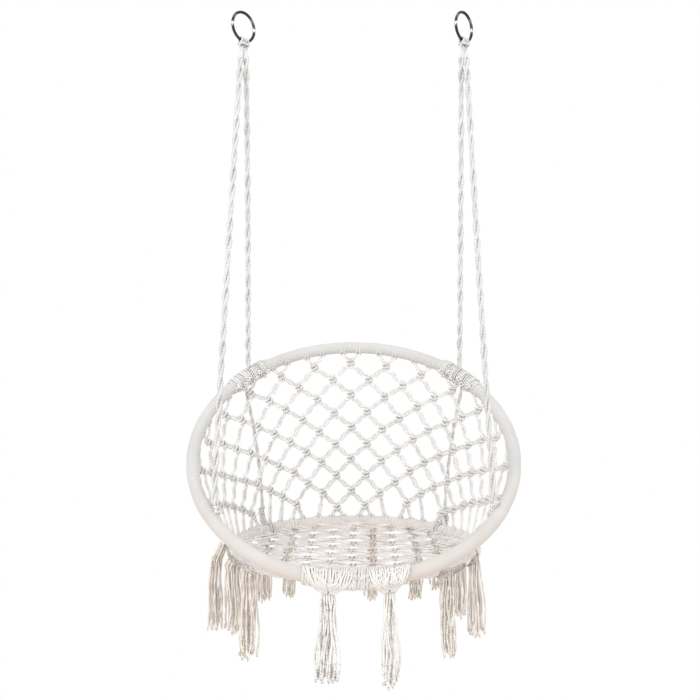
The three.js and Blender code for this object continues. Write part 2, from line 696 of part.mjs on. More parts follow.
// A tassel: a knotted head under the padded ring, a slight neck and a fluted skirt
function buildTassel(angle, depth, outset, topZ) {
  const outward = new THREE.Vector3(Math.cos(angle), Math.sin(angle), 0);
  const sideways = new THREE.Vector3(-Math.sin(angle), Math.cos(angle), 0);
  const headZ = topZ - TASSEL_HEAD_HEIGHT / 2;
  const neckZ = topZ - TASSEL_HEAD_HEIGHT;
  const skirtZ = neckZ - TASSEL_NECK_HEIGHT;
  const middleZ = (skirtZ - depth) / 2;
  const base = outset ? tubeRadius + SEAT_GAP + TASSEL_TOP_WIDTH / 2 : 0;
  const levels = [
    [topZ, TASSEL_TOP_WIDTH, 0],
    [headZ, TASSEL_HEAD_WIDTH, 0],
    [neckZ, TASSEL_NECK_WIDTH, outset / 2],
    [skirtZ, TASSEL_HEAD_WIDTH, outset],
    [middleZ, (TASSEL_HEAD_WIDTH + TASSEL_SKIRT_WIDTH) / 2, outset],
    [-depth, TASSEL_SKIRT_WIDTH, outset],
  ];
  const outlines = levels.map(([z, width, out], level) => {
    const centre = outward.clone().multiplyScalar(seatRadius + base + out);
    centre.z = z;
    const fluted = level > 2 ? TASSEL_FLUTE_SHARE : 1;
    return Array.from({ length: 2 * TASSEL_FLUTES }, (_, j) => {
      const turn = (j * Math.PI) / TASSEL_FLUTES;
      const radius = (width / 2) * (j % 2 ? fluted : 1);
      return centre.clone()
        .addScaledVector(sideways, Math.cos(turn) * radius)
        .addScaledVector(outward, Math.sin(turn) * radius);
    });
  });
  return skin(outlines);
}

// A front tassel: cords drawn down over the binding's front into a neck, and a fluted skirt below
function buildGatheredTassel(neckX, shift, width, gap, depth) {
  const outlines = [];
  const outlineOf = (placeAt) => {
    outlines.push(Array.from({ length: 2 * TASSEL_FLUTES }, (_, j) => {
      const turn = (j * Math.PI) / TASSEL_FLUTES;
      const fluted = j % 2 ? TASSEL_FLUTE_SHARE : 1;
      return placeAt(Math.cos(turn), Math.sin(turn) * fluted);
    }));
  };
  const neckHalf = TASSEL_NECK_WIDTH / 2;
  const halfStep = degrees((GATHER_TOP_DEGREES - GATHER_LEAVE_DEGREES) / GATHER_STEPS / 2);
  for (let i = 0; i <= GATHER_STEPS; i += 1) {
    const share = i / GATHER_STEPS;
    const bend = degrees(THREE.MathUtils.lerp(GATHER_TOP_DEGREES, GATHER_LEAVE_DEGREES, share));
    const spread = Math.max(0, Math.cos((share * Math.PI) / 2)) ** GATHER_FULL_SHARE;
    const half = neckHalf + (width / 2 - neckHalf) * spread;
    outlineOf((across, out) => {
      const x = neckX + shift * (1 - share) + across * half;
      const { front, forward, rise } = bindingPlace(x);
      const inner = (bindingReach(x / hoopRadius) + gap) / Math.cos(halfStep);
      const reach = inner + ((1 + out) * GATHER_THICKNESS) / 2;
      return front
        .addScaledVector(forward, Math.cos(bend) * reach)
        .addScaledVector(rise, Math.sin(bend) * reach);
    });
  }
  const { front } = bindingPlace(neckX);
  const hangY = front.y - tubeRadius / 2;
  const skirtZ = -GATHER_NECK_DEPTH - TASSEL_NECK_HEIGHT;
  for (const [z, across, along] of [
    [-GATHER_NECK_DEPTH, TASSEL_NECK_WIDTH, TASSEL_NECK_WIDTH / 2],
    [skirtZ, TASSEL_HEAD_WIDTH, TASSEL_HEAD_WIDTH],
    [(skirtZ - depth) / 2, (TASSEL_HEAD_WIDTH + TASSEL_SKIRT_WIDTH) / 2, TASSEL_HEAD_WIDTH],
    [-depth, TASSEL_SKIRT_WIDTH, TASSEL_HEAD_WIDTH],
  ]) {
    outlineOf((right, out) => new THREE.Vector3(neckX + (right * across) / 2, hangY - (out * along) / 2, z));
  }
  return skin(outlines);
}

const chair = new THREE.Group();
const seatFrame = new THREE.Group();
seatFrame.position.set(0, HOOK_FORWARD, -HOOK_HEIGHT_OVER_SEAT);
chair.add(seatFrame);

function part(name, geometry, material, parent = seatFrame) {
  const mesh = new THREE.Mesh(geometry, material);
  mesh.name = name;
  parent.add(mesh);
  return mesh;
}

// Padded rings: a bent steel tube whose ends butt at the front, a foam sleeve over it, a cloth cover outside
const coverInner = tubeRadius - COVER_THICKNESS;
const foamOuter = coverInner - SLEEVE_CLEARANCE;
const foamInner = steelRadius + SLEEVE_CLEARANCE;
const hoopFrame = new THREE.Group();
hoopFrame.position.copy(hoopCentre);
hoopFrame.rotation.x = tilt;
seatFrame.add(hoopFrame);
for (const [name, radius, steps, parent] of [
  ['hoop', hoopRadius, HOOP_STEPS, hoopFrame],
  ['seat_ring', seatRadius, SEAT_RING_STEPS, seatFrame],
]) {
  for (const [layer, inner, outer, material] of [
    ['steel', steelRadius - STEEL_WALL, steelRadius, steel],
    ['foam', foamInner, foamOuter, foam],
    ['cover', coverInner, tubeRadius, coverCloth],
  ]) {
    part(`${name}_${layer}`, ringSleeve(radius, inner, outer, TUBE_SIDES, steps), material, parent);
  }
}

part('back_net', buildBackNet(), cotton);
part('seat_net', buildSeatNet(), cotton);
part('front_binding', buildBinding(), cotton);

// Hanging rings, with the hitches that grip them
function hitchLoops(turn) {
  const wireWay = new THREE.Vector3(Math.cos(turn), Math.sin(turn), 0);
  const centre = new THREE.Vector3(0, 0, ringCentreZ);
  const loopRadius = (wireRadius + SEAT_GAP + strandRadius) / Math.cos(Math.PI / HITCH_LOOP_STEPS);
  return Array.from({ length: HITCH_LOOPS }, (_, i) => {
    const lean = ((i - (HITCH_LOOPS - 1) / 2) * STRAND_SPACING) / hangingRadius;
    const down = up.clone().multiplyScalar(-Math.cos(lean)).addScaledVector(wireWay, Math.sin(lean));
    const tangent = up.clone().multiplyScalar(Math.sin(lean)).addScaledVector(wireWay, Math.cos(lean));
    const side = new THREE.Vector3().crossVectors(down, tangent);
    const bottom = centre.clone().addScaledVector(down, hangingRadius);
    const outlines = Array.from({ length: HITCH_LOOP_STEPS }, (__, j) => {
      const around = (j * 2 * Math.PI) / HITCH_LOOP_STEPS;
      const out = down.clone().multiplyScalar(Math.cos(around)).addScaledVector(side, Math.sin(around));
      const place = bottom.clone().addScaledVector(out, loopRadius);
      return roundOutline(place, strandRadius, STRAND_SIDES, out, tangent);
    });
    return skin(outlines, true);
  });
}

function hitchThroat(turn) {
  const wireWay = new THREE.Vector3(Math.cos(turn), Math.sin(turn), 0);
  const acrossWay = new THREE.Vector3(-Math.sin(turn), Math.cos(turn), 0);
  const topReach = (HITCH_LOOPS * STRAND_SPACING) / 2;
  const bottomReach = (ROPE_SPACING + ROPE_DIAMETER) / 2;
  const levels = [
    [hitchTopZ + strandRadius, wireWay, acrossWay, topReach],
    [hitchBottomZ, new THREE.Vector3(1, 0, 0), new THREE.Vector3(0, 1, 0), bottomReach],
  ];
  return skin(levels.map(([z, wide, deep, reach]) => (
    roundOutline(new THREE.Vector3(0, 0, z), 1, TUBE_SIDES, wide.clone().multiplyScalar(reach),
      deep.clone().multiplyScalar(HITCH_DEPTH / 2))
  )));
}

for (const [side, name] of [[-1, 'left'], [1, 'right']]) {
  const hanger = new THREE.Group();
  hanger.position.x = (side * HOOK_SPAN) / 2;
  chair.add(hanger);
  const turn = degrees(HANGING_RING_TURN_DEGREES);
  const ringTurn = new THREE.Group();
  ringTurn.position.z = ringCentreZ;
  ringTurn.rotation.z = turn;
  hanger.add(ringTurn);
  const ring = part(
    `${name}_hanging_ring`,
    ringBar(hangingRadius, wireRadius, TUBE_SIDES, HANGING_RING_STEPS),
    chrome,
    ringTurn,
  );
  ring.rotation.x = Math.PI / 2;
  part(`${name}_hitch`, joined([hitchThroat(turn), ...hitchLoops(turn)]), ropeCotton, hanger);
}

for (const { name, top, meet, tieAngle, loops, foot } of ropes) {
  part(`${name}_rope`, buildRope(top, meet, true), ropeCotton);
  part(`${name}_tie`, buildTie(tieAngle, loops), cotton);
  const tie = hoopPoint(tieAngle);
  const down = foot.clone().sub(tie).normalize();
  const outward = foot.clone().normalize();
  outward.addScaledVector(down, -outward.dot(down)).setLength(ROPE_BEHIND_NET);
  const lowTop = ropeClears(tie.add(outward), down, fromHoop, tieOuterRadius + SEAT_GAP);
  const footSide = foot.clone().add(outward);
  const lowBottom = ropeClears(footSide, down.clone().negate(), fromSeatRing, tubeRadius + SEAT_GAP);
  part(`${name}_lower_rope`, buildRope(lowTop, lowBottom, false), ropeCotton);
}

TASSEL_DEGREES.forEach((value, index) => {
  const angle = degrees(value);
  const depth = TASSEL_DEPTH * TASSEL_DEPTH_SHARES[index];
  const gather = GATHERS.indexOf(index);
  const outboard = index === TASSEL_OUTBOARD;
  const topZ = outboard ? 0 : -tubeRadius - SEAT_GAP;
  const geometry = gather < 0
    ? buildTassel(angle, depth, outboard ? TASSEL_OUTSET : 0, topZ)
    : buildGatheredTassel(
      seatPoint(angle).x, GATHER_SHIFTS[gather], GATHER_WIDTHS[gather], GATHER_GAPS[gather], depth,
    );
  part(`tassel_${String(index + 1).padStart(2, '0')}`, geometry, tasselCotton);
});

export default chair;
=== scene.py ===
"""Looks of the hanging chair: cotton cords, covers, tassels and metal rings around the fixed frame."""

import random
from math import asin, atan2, ceil, cos, degrees, hypot, pi, radians, sin, sqrt

import bpy
import numpy as np
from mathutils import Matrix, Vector


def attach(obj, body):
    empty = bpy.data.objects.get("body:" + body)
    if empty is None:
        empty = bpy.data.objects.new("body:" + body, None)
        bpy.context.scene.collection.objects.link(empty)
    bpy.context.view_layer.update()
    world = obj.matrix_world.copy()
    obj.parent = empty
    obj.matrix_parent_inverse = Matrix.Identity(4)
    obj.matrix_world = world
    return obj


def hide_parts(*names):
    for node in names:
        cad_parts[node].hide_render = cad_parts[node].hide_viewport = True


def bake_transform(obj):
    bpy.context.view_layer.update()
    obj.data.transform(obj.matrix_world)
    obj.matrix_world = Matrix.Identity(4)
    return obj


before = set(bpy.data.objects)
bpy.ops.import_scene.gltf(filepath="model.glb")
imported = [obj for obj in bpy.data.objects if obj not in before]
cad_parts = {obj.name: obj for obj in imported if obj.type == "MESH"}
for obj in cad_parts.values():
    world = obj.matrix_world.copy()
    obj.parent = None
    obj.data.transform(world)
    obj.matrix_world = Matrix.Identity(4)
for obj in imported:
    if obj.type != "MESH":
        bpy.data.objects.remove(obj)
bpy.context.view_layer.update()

rng = random.Random(411)
TURN = 2 * pi
ACROSS, BACK, UP = Vector((1, 0, 0)), Vector((0, 1, 0)), Vector((0, 0, 1))
# steps of the curves' points: for the back net, for other cords, and for hanging strands
NET_STEP, STEP, STRAND_STEP = 0.0022, 0.003, 0.0035

# The chair's own frame, as in the solids: its origin is the seat ring's centre
HOOK_HEIGHT, HOOK_FORWARD, HOOK_SPAN = 1.288, 0.0061, 0.534
ORIGIN = Vector((0, HOOK_FORWARD, -HOOK_HEIGHT))
PIVOT_Z = -0.0968
# The padded rings. The solids' rings are polygons, so the cloth's middle lines lie just inside the circles.
TUBE = 0.015
SEAT_CIRCLE, HOOP_CIRCLE = 0.285, 0.385
SEAT_R, HOOP_R = SEAT_CIRCLE - 0.0009, HOOP_CIRCLE - 0.0007
RING_GAP = 0.0304
TILT = radians(38.7)
HOOP_C = Vector((0, HOOP_CIRCLE * cos(TILT) - SEAT_CIRCLE - RING_GAP, HOOP_CIRCLE * sin(TILT)))
HOOP_N = Vector((0, -sin(TILT), cos(TILT)))


def placed(name, data):
    obj = bpy.data.objects.new(name, data)
    bpy.context.scene.collection.objects.link(obj)
    return obj


# ---- camera
# From a fit of the two rings in the photograph: its size, focal length and shift in pixels
PHOTO_PX, FOCAL_PX, SHIFT_PX = 700, 833, 3.7
SENSOR_MM = 36
CAMERA_DISTANCE, CAMERA_RISE = 2.025, 0.474

cam_data = bpy.data.cameras.new("camera")
camera = placed("camera", cam_data)
camera.location = ORIGIN + Vector((0, -CAMERA_DISTANCE, CAMERA_RISE))
camera.rotation_euler = (pi / 2, 0, 0)
cam_data.sensor_width = SENSOR_MM
cam_data.lens = SENSOR_MM * FOCAL_PX / PHOTO_PX
cam_data.shift_x = -SHIFT_PX / PHOTO_PX
cam_data.clip_end = 50
bpy.context.scene.camera = camera


# ---- materials
def put(node, values):
    for name, value in values.items():
        node.inputs[name].default_value = value


def new_material(name):
    m = bpy.data.materials.new(name)
    m.use_nodes = True
    return m, m.node_tree, m.node_tree.nodes["Principled BSDF"]


def object_coordinates(tree):
    return tree.nodes.new("ShaderNodeTexCoord").outputs["Object"]


def noise(tree, coord, scale, detail=3.0, rough=0.55):
    n = tree.nodes.new("ShaderNodeTexNoise")
    put(n, {"Scale": scale, "Detail": detail, "Roughness": rough})
    tree.links.new(coord, n.inputs["Vector"])
    return n.outputs["Fac"]


def ramp(tree, fac, stops):
    r = tree.nodes.new("ShaderNodeValToRGB")
    tree.links.new(fac, r.inputs["Fac"])
    els = r.color_ramp.elements
    for end, (pos, colour) in zip(els, (stops[0], stops[-1])):
        end.position, end.color = pos, (*colour, 1)
    for pos, colour in stops[1:-1]:
        els.new(pos).color = (*colour, 1)
    return r.outputs["Color"]


def bump(tree, shader, height, strength, distance):
    b = tree.nodes.new("ShaderNodeBump")
    put(b, {"Strength": strength, "Distance": distance})
    tree.links.new(height, b.inputs["Height"])
    tree.links.new(b.outputs["Normal"], shader.inputs["Normal"])


def remap(tree, value, ends):
    share = tree.nodes.new("ShaderNodeMapRange")
    put(share, ends)
    tree.links.new(value, share.inputs["Value"])
    return share.outputs["Result"]


def height_share(tree, coord, low, high):
    """0 at the height low and 1 at the height high."""
    cut = tree.nodes.new("ShaderNodeSeparateXYZ")
    tree.links.new(coord, cut.inputs[0])
    return remap(tree, cut.outputs["Z"], {"From Min": low, "From Max": high})


def cotton(name, low, mid, high, fibre=1400.0, strength=0.5):
    """Matt cotton cord: fine fibre bump, and slow change of tone along the cords."""
    m, tree, s = new_material(name)
    coord = object_coordinates(tree)
    tone = ramp(tree, noise(tree, coord, 22.0, 2.0), [(0.3, low), (0.5, mid), (0.72, high)])
    tree.links.new(tone, s.inputs["Base Color"])
    bump(tree, s, noise(tree, coord, fibre, 4.0, 0.7), strength, 0.0008)
    put(s, {"Roughness": 0.92, "Specular IOR Level": 0.25, "Sheen Weight": 0.25, "Sheen Roughness": 0.5})
    return m


# low, middle and high tone of each cord, then its fibre's scale and bump
FINE, KNOTTY = (1400.0, 0.35), (900.0, 0.9)
mat_net = cotton("net_cotton", (0.81, 0.80, 0.783), (0.848, 0.839, 0.824), (0.885, 0.877, 0.863), *FINE)
mat_seat = cotton("seat_cotton", (0.88, 0.83, 0.80), (0.92, 0.88, 0.855), (0.95, 0.925, 0.91))
mat_rope = cotton("rope_cotton", (0.73, 0.727, 0.724), (0.775, 0.772, 0.768), (0.83, 0.827, 0.822))
mat_knot = cotton("seat_knot_cotton", (0.70, 0.64, 0.60), (0.76, 0.70, 0.665), (0.83, 0.785, 0.755), *KNOTTY)
# painted shade: the tassel hitches' deep brown low tone, in patches about a knot wide, stands for the
# shadowed gaps between the knots
mat_hitch_painted_shade = cotton("hitch_cotton_painted_shade", (0.40, 0.345, 0.31), (0.71, 0.65, 0.61), (0.90, 0.86, 0.83), 330.0, 0.9)
mat_tassel = cotton("tassel_cotton", (0.83, 0.77, 0.705), (0.89, 0.84, 0.785), (0.93, 0.895, 0.85))
mat_front = cotton(
    "front_tassel_cotton", (0.81, 0.787, 0.763), (0.862, 0.844, 0.824), (0.907, 0.894, 0.878), *KNOTTY
)
mat_bind = cotton(
    "binding_cotton", (0.795, 0.763, 0.745), (0.835, 0.803, 0.785), (0.875, 0.85, 0.835), *KNOTTY
)


def cover_cloth(name, low, mid, high):
    """Smooth woven cloth pulled over the foam: a fine weave and soft creases."""
    m, tree, s = new_material(name)
    coord = object_coordinates(tree)
    tone = ramp(tree, noise(tree, coord, 9.0, 2.0), [(0.3, low), (0.5, mid), (0.7, high)])
    # painted light: the cloth is tinted warmer low down, standing for the floor's warm bounce light
    share = height_share(tree, coord, ORIGIN.z - 0.02, ORIGIN.z + 0.25)
    painted_floor_bounce = ramp(tree, share, [(0.0, (1.0, 0.945, 0.915)), (1.0, (0.99, 0.998, 1.0))])
    both = tree.nodes.new("ShaderNodeMixRGB")
    both.blend_type = "MULTIPLY"
    both.inputs[0].default_value = 1.0
    tree.links.new(tone, both.inputs[1])
    tree.links.new(painted_floor_bounce, both.inputs[2])
    tree.links.new(both.outputs[0], s.inputs["Base Color"])
    # the weave at about an eighth of the creases' height
    relief = tree.nodes.new("ShaderNodeMath")
    relief.operation = "MULTIPLY_ADD"
    relief.inputs[1].default_value = 0.12
    tree.links.new(noise(tree, coord, 1800.0, 2.0, 0.5), relief.inputs[0])
    tree.links.new(noise(tree, coord, 60.0, 3.0, 0.6), relief.inputs[2])
    bump(tree, s, relief.outputs[0], 0.2, 0.0012)
    put(s, {"Roughness": 0.8, "Specular IOR Level": 0.3, "Sheen Weight": 0.2})
    return m


HOOP_TONES = ((0.595, 0.585, 0.573), (0.625, 0.617, 0.606), (0.655, 0.648, 0.639))
# painted light: the seat ring's cloth is the hoop's cloth made lighter, to lift the shade the hoop casts on
# it
SEAT_TONES_PAINTED_LIGHTER = ((0.665, 0.662, 0.655), (0.695, 0.692, 0.687), (0.725, 0.722, 0.718))
mat_cover = {
    "hoop": cover_cloth("hoop_cloth", *HOOP_TONES),
    "seat": cover_cloth("seat_ring_cloth_painted_lighter", *SEAT_TONES_PAINTED_LIGHTER),
}

# The hanging rings: wire, outside diameter, and top over the hook points. Then their middle line's
# radius, the height of its centre, and how far the rings are turned.
WIRE, RING_OUTSIDE, RING_TOP = 0.007, 0.076, 0.007
RING_R = RING_OUTSIDE / 2 - WIRE / 2
RING_Z = -(RING_R - WIRE / 2)
RING_TURN = radians(49)


def chrome():
    m, tree, s = new_material("chrome")
    coord = object_coordinates(tree)
    rough = remap(tree, noise(tree, coord, 300.0, 2.0), {"To Min": 0.06, "To Max": 0.16})
    tree.links.new(rough, s.inputs["Roughness"])
    # painted reflection: the base colour is dark, standing for a dark room mirrored in the plating, with
    # painted glints of pale windows in bands at mid height and at the top
    share = height_share(tree, coord, RING_TOP - RING_OUTSIDE, RING_TOP)
    dark, painted_glint_edge, painted_glint = (0.05, 0.05, 0.055), (0.24, 0.24, 0.245), (0.64, 0.64, 0.645)
    stops = [(0.0, dark), (0.38, dark), (0.44, painted_glint_edge), (0.49, painted_glint), (0.515, painted_glint), (0.55, painted_glint_edge)]
    stops += [(0.60, dark), (0.78, painted_glint_edge), (0.84, dark), (0.965, dark), (0.99, painted_glint_edge), (1.0, painted_glint)]
    tree.links.new(ramp(tree, share, stops), s.inputs["Base Color"])
    put(s, {"Metallic": 1.0})
    return m


def plain(name, colour, rough, metal, scale):
    """One colour with a slow change of tone, for the parts under the cloth."""
    m, tree, s = new_material(name)
    dark = tuple(c * 0.92 for c in colour)
    tone = ramp(tree, noise(tree, object_coordinates(tree), scale, 2.0), [(0.35, dark), (0.65, colour)])
    tree.links.new(tone, s.inputs["Base Color"])
    put(s, {"Roughness": rough, "Metallic": metal})
    return m


mat_chrome_painted_glints = chrome()
mat_foam = plain("foam", (0.86, 0.84, 0.79), 0.95, 0.0, 500.0)
mat_steel = plain("coated_steel", (0.05, 0.05, 0.055), 0.5, 0.3, 40.0)


# ---- meshes
def shifted(points):
    return [ORIGIN + p for p in points]


def shares(count):
    """Even shares from 0 to 1, one more than the count."""
    return [i / count for i in range(count + 1)]


def spline(points, step=STEP):
    """A smooth curve through the points, in even short steps."""
    p = [np.array(q, float) for q in points]
    ext = [2 * p[0] - p[1]] + p + [2 * p[-1] - p[-2]]
    out = []
    for i in range(1, len(ext) - 2):
        p0, p1, p2, p3 = ext[i - 1 : i + 3]
        m = max(1, int(ceil(np.linalg.norm(p2 - p1) / step)))
        for k in range(m):
            t = k / m
            q = 2 * p1 + (p2 - p0) * t + (2 * p0 - 5 * p1 + 4 * p2 - p3) * t * t
            out.append(Vector(0.5 * (q + (3 * p1 - p0 - 3 * p2 + p3) * t**3)))
    out.append(Vector(p[-1]))
    return out


class Mesher:
    """Collects tubes and other skins into one mesh."""

    def __init__(self):
        self.verts = []
        self.faces = []

    def grid(self, rings, closed=False):
        """A skin over rings of points, with flat ends unless it is closed along its length."""
        start = len(self.verts)
        count, total = len(rings[0]), len(rings)
        for ring in rings:
            self.verts.extend(ring)
        for i in range(total if closed else total - 1):
            a = start + i * count
            b = start + ((i + 1) % total) * count
            for j in range(count):
                k = (j + 1) % count
                self.faces.append((a + j, a + k, b + k, b + j))
        if not closed:
            last = start + (total - 1) * count
            self.faces.append(tuple(start + j for j in reversed(range(count))))
            self.faces.append(tuple(last + j for j in range(count)))

    def tube(self, path, radius, sides=6, depth=0.16, lay=0.016, closed=False, radii=None, phase=0.0):
        """A laid cord along a path. Every second side stands back, and the section turns once in each lay."""
        n = len(path)
        normal = None
        rings = []
        travelled = 0.0
        for i, p in enumerate(path):
            a = path[i - 1] if (i > 0 or closed) else p
            b = path[(i + 1) % n] if (i < n - 1 or closed) else p
            t = (b - a).normalized()
            if i > 0:
                travelled += (p - path[i - 1]).length
            if normal is None:
                normal = UP if abs(t.z) < 0.9 else ACROSS
            normal = (normal - t * normal.dot(t)).normalized()
            other = t.cross(normal)
            turn = phase + TURN * travelled / lay
            ring = []
            for j in range(sides):
                ang = turn + TURN * j / sides
                r = (radii[i] if radii else radius) * (1 + depth * (0.5 if j % 2 == 0 else -1.0))
                ring.append(p + normal * (cos(ang) * r) + other * (sin(ang) * r))
            rings.append(ring)
        self.grid(rings, closed)

    def cord(self, points, radius, step=STEP, **how):
        """A tube along the smooth curve through points in the chair's frame."""
        self.tube(shifted(spline(points, step)), radius, **how)

    def piece(self, name, material, nodes, slot, body="chair"):
        """The mesh as a visible piece that stands for CAD nodes. It rides on a body, if one is given."""
        mesh = bpy.data.meshes.new(name)
        mesh.from_pydata([tuple(v) for v in self.verts], [], self.faces)
        mesh.materials.append(material)
        mesh.polygons.foreach_set("use_smooth", [True] * len(mesh.polygons))
        mesh.update()
        obj = placed(name, mesh)
        if body:
            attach(obj, body)
        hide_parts(*nodes)
        return obj


# ---- the two rings, in the chair's frame
def hoop_radial(a):
    return Vector((cos(a), sin(a) * cos(TILT), sin(a) * sin(TILT)))


def hoop_point(a):
    return HOOP_C + hoop_radial(a) * HOOP_R


def level_way(a):
    """The level direction at an angle, outward from the seat ring's middle."""
    return Vector((cos(a), sin(a), 0))


def seat_point(a):
    return level_way(a) * SEAT_R


def section(ring, a):
    """Centre, outward, normal and along directions of a ring at an angle."""
    if ring == "hoop":
        radial, normal, centre = hoop_radial(a), HOOP_N, hoop_point(a)
    else:
        radial, normal, centre = level_way(a), UP, seat_point(a)
    return centre, radial, normal, normal.cross(radial)


def round_ring(ring, a, psi, reach, shift=0.0):
    """A point at section angle psi and distance reach from a ring's centreline, shifted along the ring."""
    centre, radial, normal, along = section(ring, a)
    return centre + radial * (cos(psi) * reach) + normal * (sin(psi) * reach) + along * shift


def psi_of(ring, a, point):
    """The section angle of a point beside a ring."""
    centre, radial, normal, _ = section(ring, a)
    d = point - centre
    return atan2(d.dot(normal), d.dot(radial))


def front_angle(x, radius):
    """The angle round a ring at its front, where it passes a place across."""
    return asin(max(-1, min(1, x / radius))) - pi / 2


# ---- padded covers
COVER_STEPS, COVER_SIDES, SEAM_STEPS, SEAM_CORD = 300, 28, 420, 0.0009
# the degrees round the hoop where the ties crease its cover, and how far and deep a crease goes
CREASES = {"hoop": (137, 43, 212, 328), "seat": ()}
CREASE_REACH, CREASE_DEPTH = 0.03, 0.0007
SEAM_PSI = {"hoop": -2.2, "seat": -1.9}


def cover(name, ring, node):
    """The cloth round a padded ring, with its creases and seam."""
    m = Mesher()
    rings = []
    start = -pi / 2
    circle = HOOP_R if ring == "hoop" else SEAT_R
    for i in range(COVER_STEPS):
        a = start + TURN * i / COVER_STEPS
        swell = 0.00025 * sin(7 * a + 0.4) + 0.0002 * sin(19 * a + 1.7)
        tight = 0.0
        for degrees_ in CREASES[ring]:
            d = abs((a - radians(degrees_) + pi) % TURN - pi) * circle
            tight = max(tight, CREASE_DEPTH * (1 - d / CREASE_REACH))
        points = []
        for j in range(COVER_SIDES):
            psi = TURN * j / COVER_SIDES
            ruck = 0.00018 * sin(5 * psi + 31 * a) * sin(3 * a + psi)
            points.append(round_ring(ring, a, psi, TUBE + swell - tight + ruck))
        rings.append(shifted(points))
    m.grid(rings, closed=True)
    # sewn seam along the side that faces down
    angles = (start + TURN * i / SEAM_STEPS for i in range(SEAM_STEPS))
    seam = [round_ring(ring, a, SEAM_PSI[ring], TUBE - 0.0001) for a in angles]
    m.tube(shifted(seam), SEAM_CORD, depth=0.1, lay=0.006, closed=True)
    m.piece(name, mat_cover[ring], [node], "cover_cloth")


# ---- the back net's surface and its knots
NET_CORD = 0.0055
COLUMNS, ROWS = 17, 14
MIDDLE, PITCH, LEG_SPREAD = radians(91.3), radians(15.5), radians(3.3)
FIRST_KNOT, NET_ROW, WAIST = 0.045, 0.0435, 0.016
# how far a knot keeps from the seat ring's cover
FOOT_ROOM = 0.026


def net_point(a, dist):
    """A point of the surface between the rings, drawn in at its waist, at a distance down from the hoop."""
    high, low = hoop_point(a), seat_point(a)
    length = (high - low).length
    share = dist / length
    bow = WAIST * sin(pi * min(max(share, 0), 1)) * (length / (2 * HOOP_C.z))
    return high.lerp(low, share) - level_way(a) * bow


def net_frame(a, dist):
    """Directions across the net, down it and out of it."""
    da, dd = 0.004, 0.001
    across = (net_point(a + da, dist) - net_point(a - da, dist)).normalized()
    down = (net_point(a, dist + dd) - net_point(a, dist - dd)).normalized()
    normal = across.cross(down).normalized()
    return across, normal.cross(across).normalized(), normal


# The cords of a square knot: places across it, down it and out of it, in cord widths
WORKER = (
    (-1.35, -1.95, 0.1), (-0.3, -1.2, 0.95), (0.75, -0.85, 0.9), (1.5, -0.4, 0.0), (0.75, -0.05, -0.95),
    (-0.75, 0.2, -0.95), (-1.5, 0.55, 0.0), (-1.35, 1.3, 0.1), (-1.3, 1.95, 0.1),
)
WORKER_BACK = (
    (-1.35, -1.95, -0.1), (-0.3, -1.35, -0.95), (0.8, -1.05, -0.9), (1.55, -0.35, 0.0),
    (0.8, 0.4, 0.95), (-0.7, 0.8, 0.95), (-1.5, 1.15, 0.1), (-1.35, 1.95, 0.05),
)
FILLER = ((-0.55, -2.0, 0), (-0.5, -1.0, 0), (-0.5, 0, 0), (-0.5, 1.0, 0), (-0.55, 2.0, 0))
KNOT_SCALE = 1.12
SLACK = 0.0018


def knot_path(knot, kind, side):
    """Points of one cord through a knot. side is -1 for the cord from the left above, +1 from the right."""
    rows = FILLER if kind == "inner" else (WORKER if side < 0 else WORKER_BACK)
    across, down, normal = knot["frame"]
    size = NET_CORD * KNOT_SCALE
    return [knot["place"] + (across * (u * -side) + down * v + normal * w) * size for u, v, w in rows]


def follow(knots, lower, key, side, kind, head):
    """One cord from where it enters a knot, through the knots below, to its end on the seat ring."""
    points = list(head)
    while True:
        knot = knots[key]
        points += knot_path(knot, kind, side)
        target = lower[key][side]
        if callable(target):
            return points + target(knot, kind)
        other = knots[target]
        a, b = knot["place"], other["place"]
        normal = (knot["frame"][2] + other["frame"][2]).normalized()
        off_line = normal.cross((b - a).normalized()).normalized()
        # which edge of the pair: an outer cord keeps to the side away from the knot's own axis
        sign = 1 if off_line.dot(knot["frame"][0]) * side > 0 else -1
        if kind == "inner":
            sign = -sign
        slack = rng.uniform(-1, 1) * SLACK
        for share in (0.34, 0.5, 0.66):
            middle = share == 0.5
            off = NET_CORD * 0.56 + (abs(slack) * 0.5 if middle else 0.0)
            lift = slack if middle else slack * 0.7
            points.append(a.lerp(b, share) + off_line * (sign * off) + normal * lift)
        if target[0] != key[0]:
            side = -side
        key, kind = target, "outer" if kind == "inner" else "inner"


def wrap_end(ring, a, from_point, kind):
    """A cord's end wound on a ring: it comes in along the net and goes once round, pressed in."""
    psi = psi_of(ring, a, from_point)
    sign = 1 if kind == "inner" else -1
    points = []
    for share in shares(12):
        pressed = min(1.0, share * 5, (1 - share) * 5)
        reach = TUBE + NET_CORD * (0.3 - 0.75 * pressed)
        shift = sign * NET_CORD * (0.5 + 0.5 * share)
        points.append(round_ring(ring, a, psi + sign * share * TURN, reach, shift))
    return points


def bar_over(ring, a, from_point):
    """The short cord lying across a pair of loops where they close."""
    psi = psi_of(ring, a, from_point)
    low, high = TUBE + NET_CORD * 0.1, TUBE + NET_CORD * 0.8
    half = NET_CORD * 1.3
    places = ((-0.3, low, -half), (0, high, -half * 0.6), (0.02, high + 0.0003, 0))
    places += ((0, high, half * 0.6), (-0.3, low, half))
    return [round_ring(ring, a, psi + turn, reach, shift) for turn, reach, shift in places]


def tail(foot):
    """How a cord goes from its last knot to a foot on the seat ring."""

    def end(knot, kind):
        top = knot["place"]
        sign = 1 if kind == "inner" else -1
        psi = psi_of("seat", foot, top)
        edge = round_ring("seat", foot, psi, TUBE + NET_CORD * 0.5 + 0.0004, sign * NET_CORD * 0.5)
        middle = top.lerp(edge, 0.5) + section("seat", foot)[3] * (sign * NET_CORD * 0.3)
        return [middle] + wrap_end("seat", foot, top, kind)

    return end


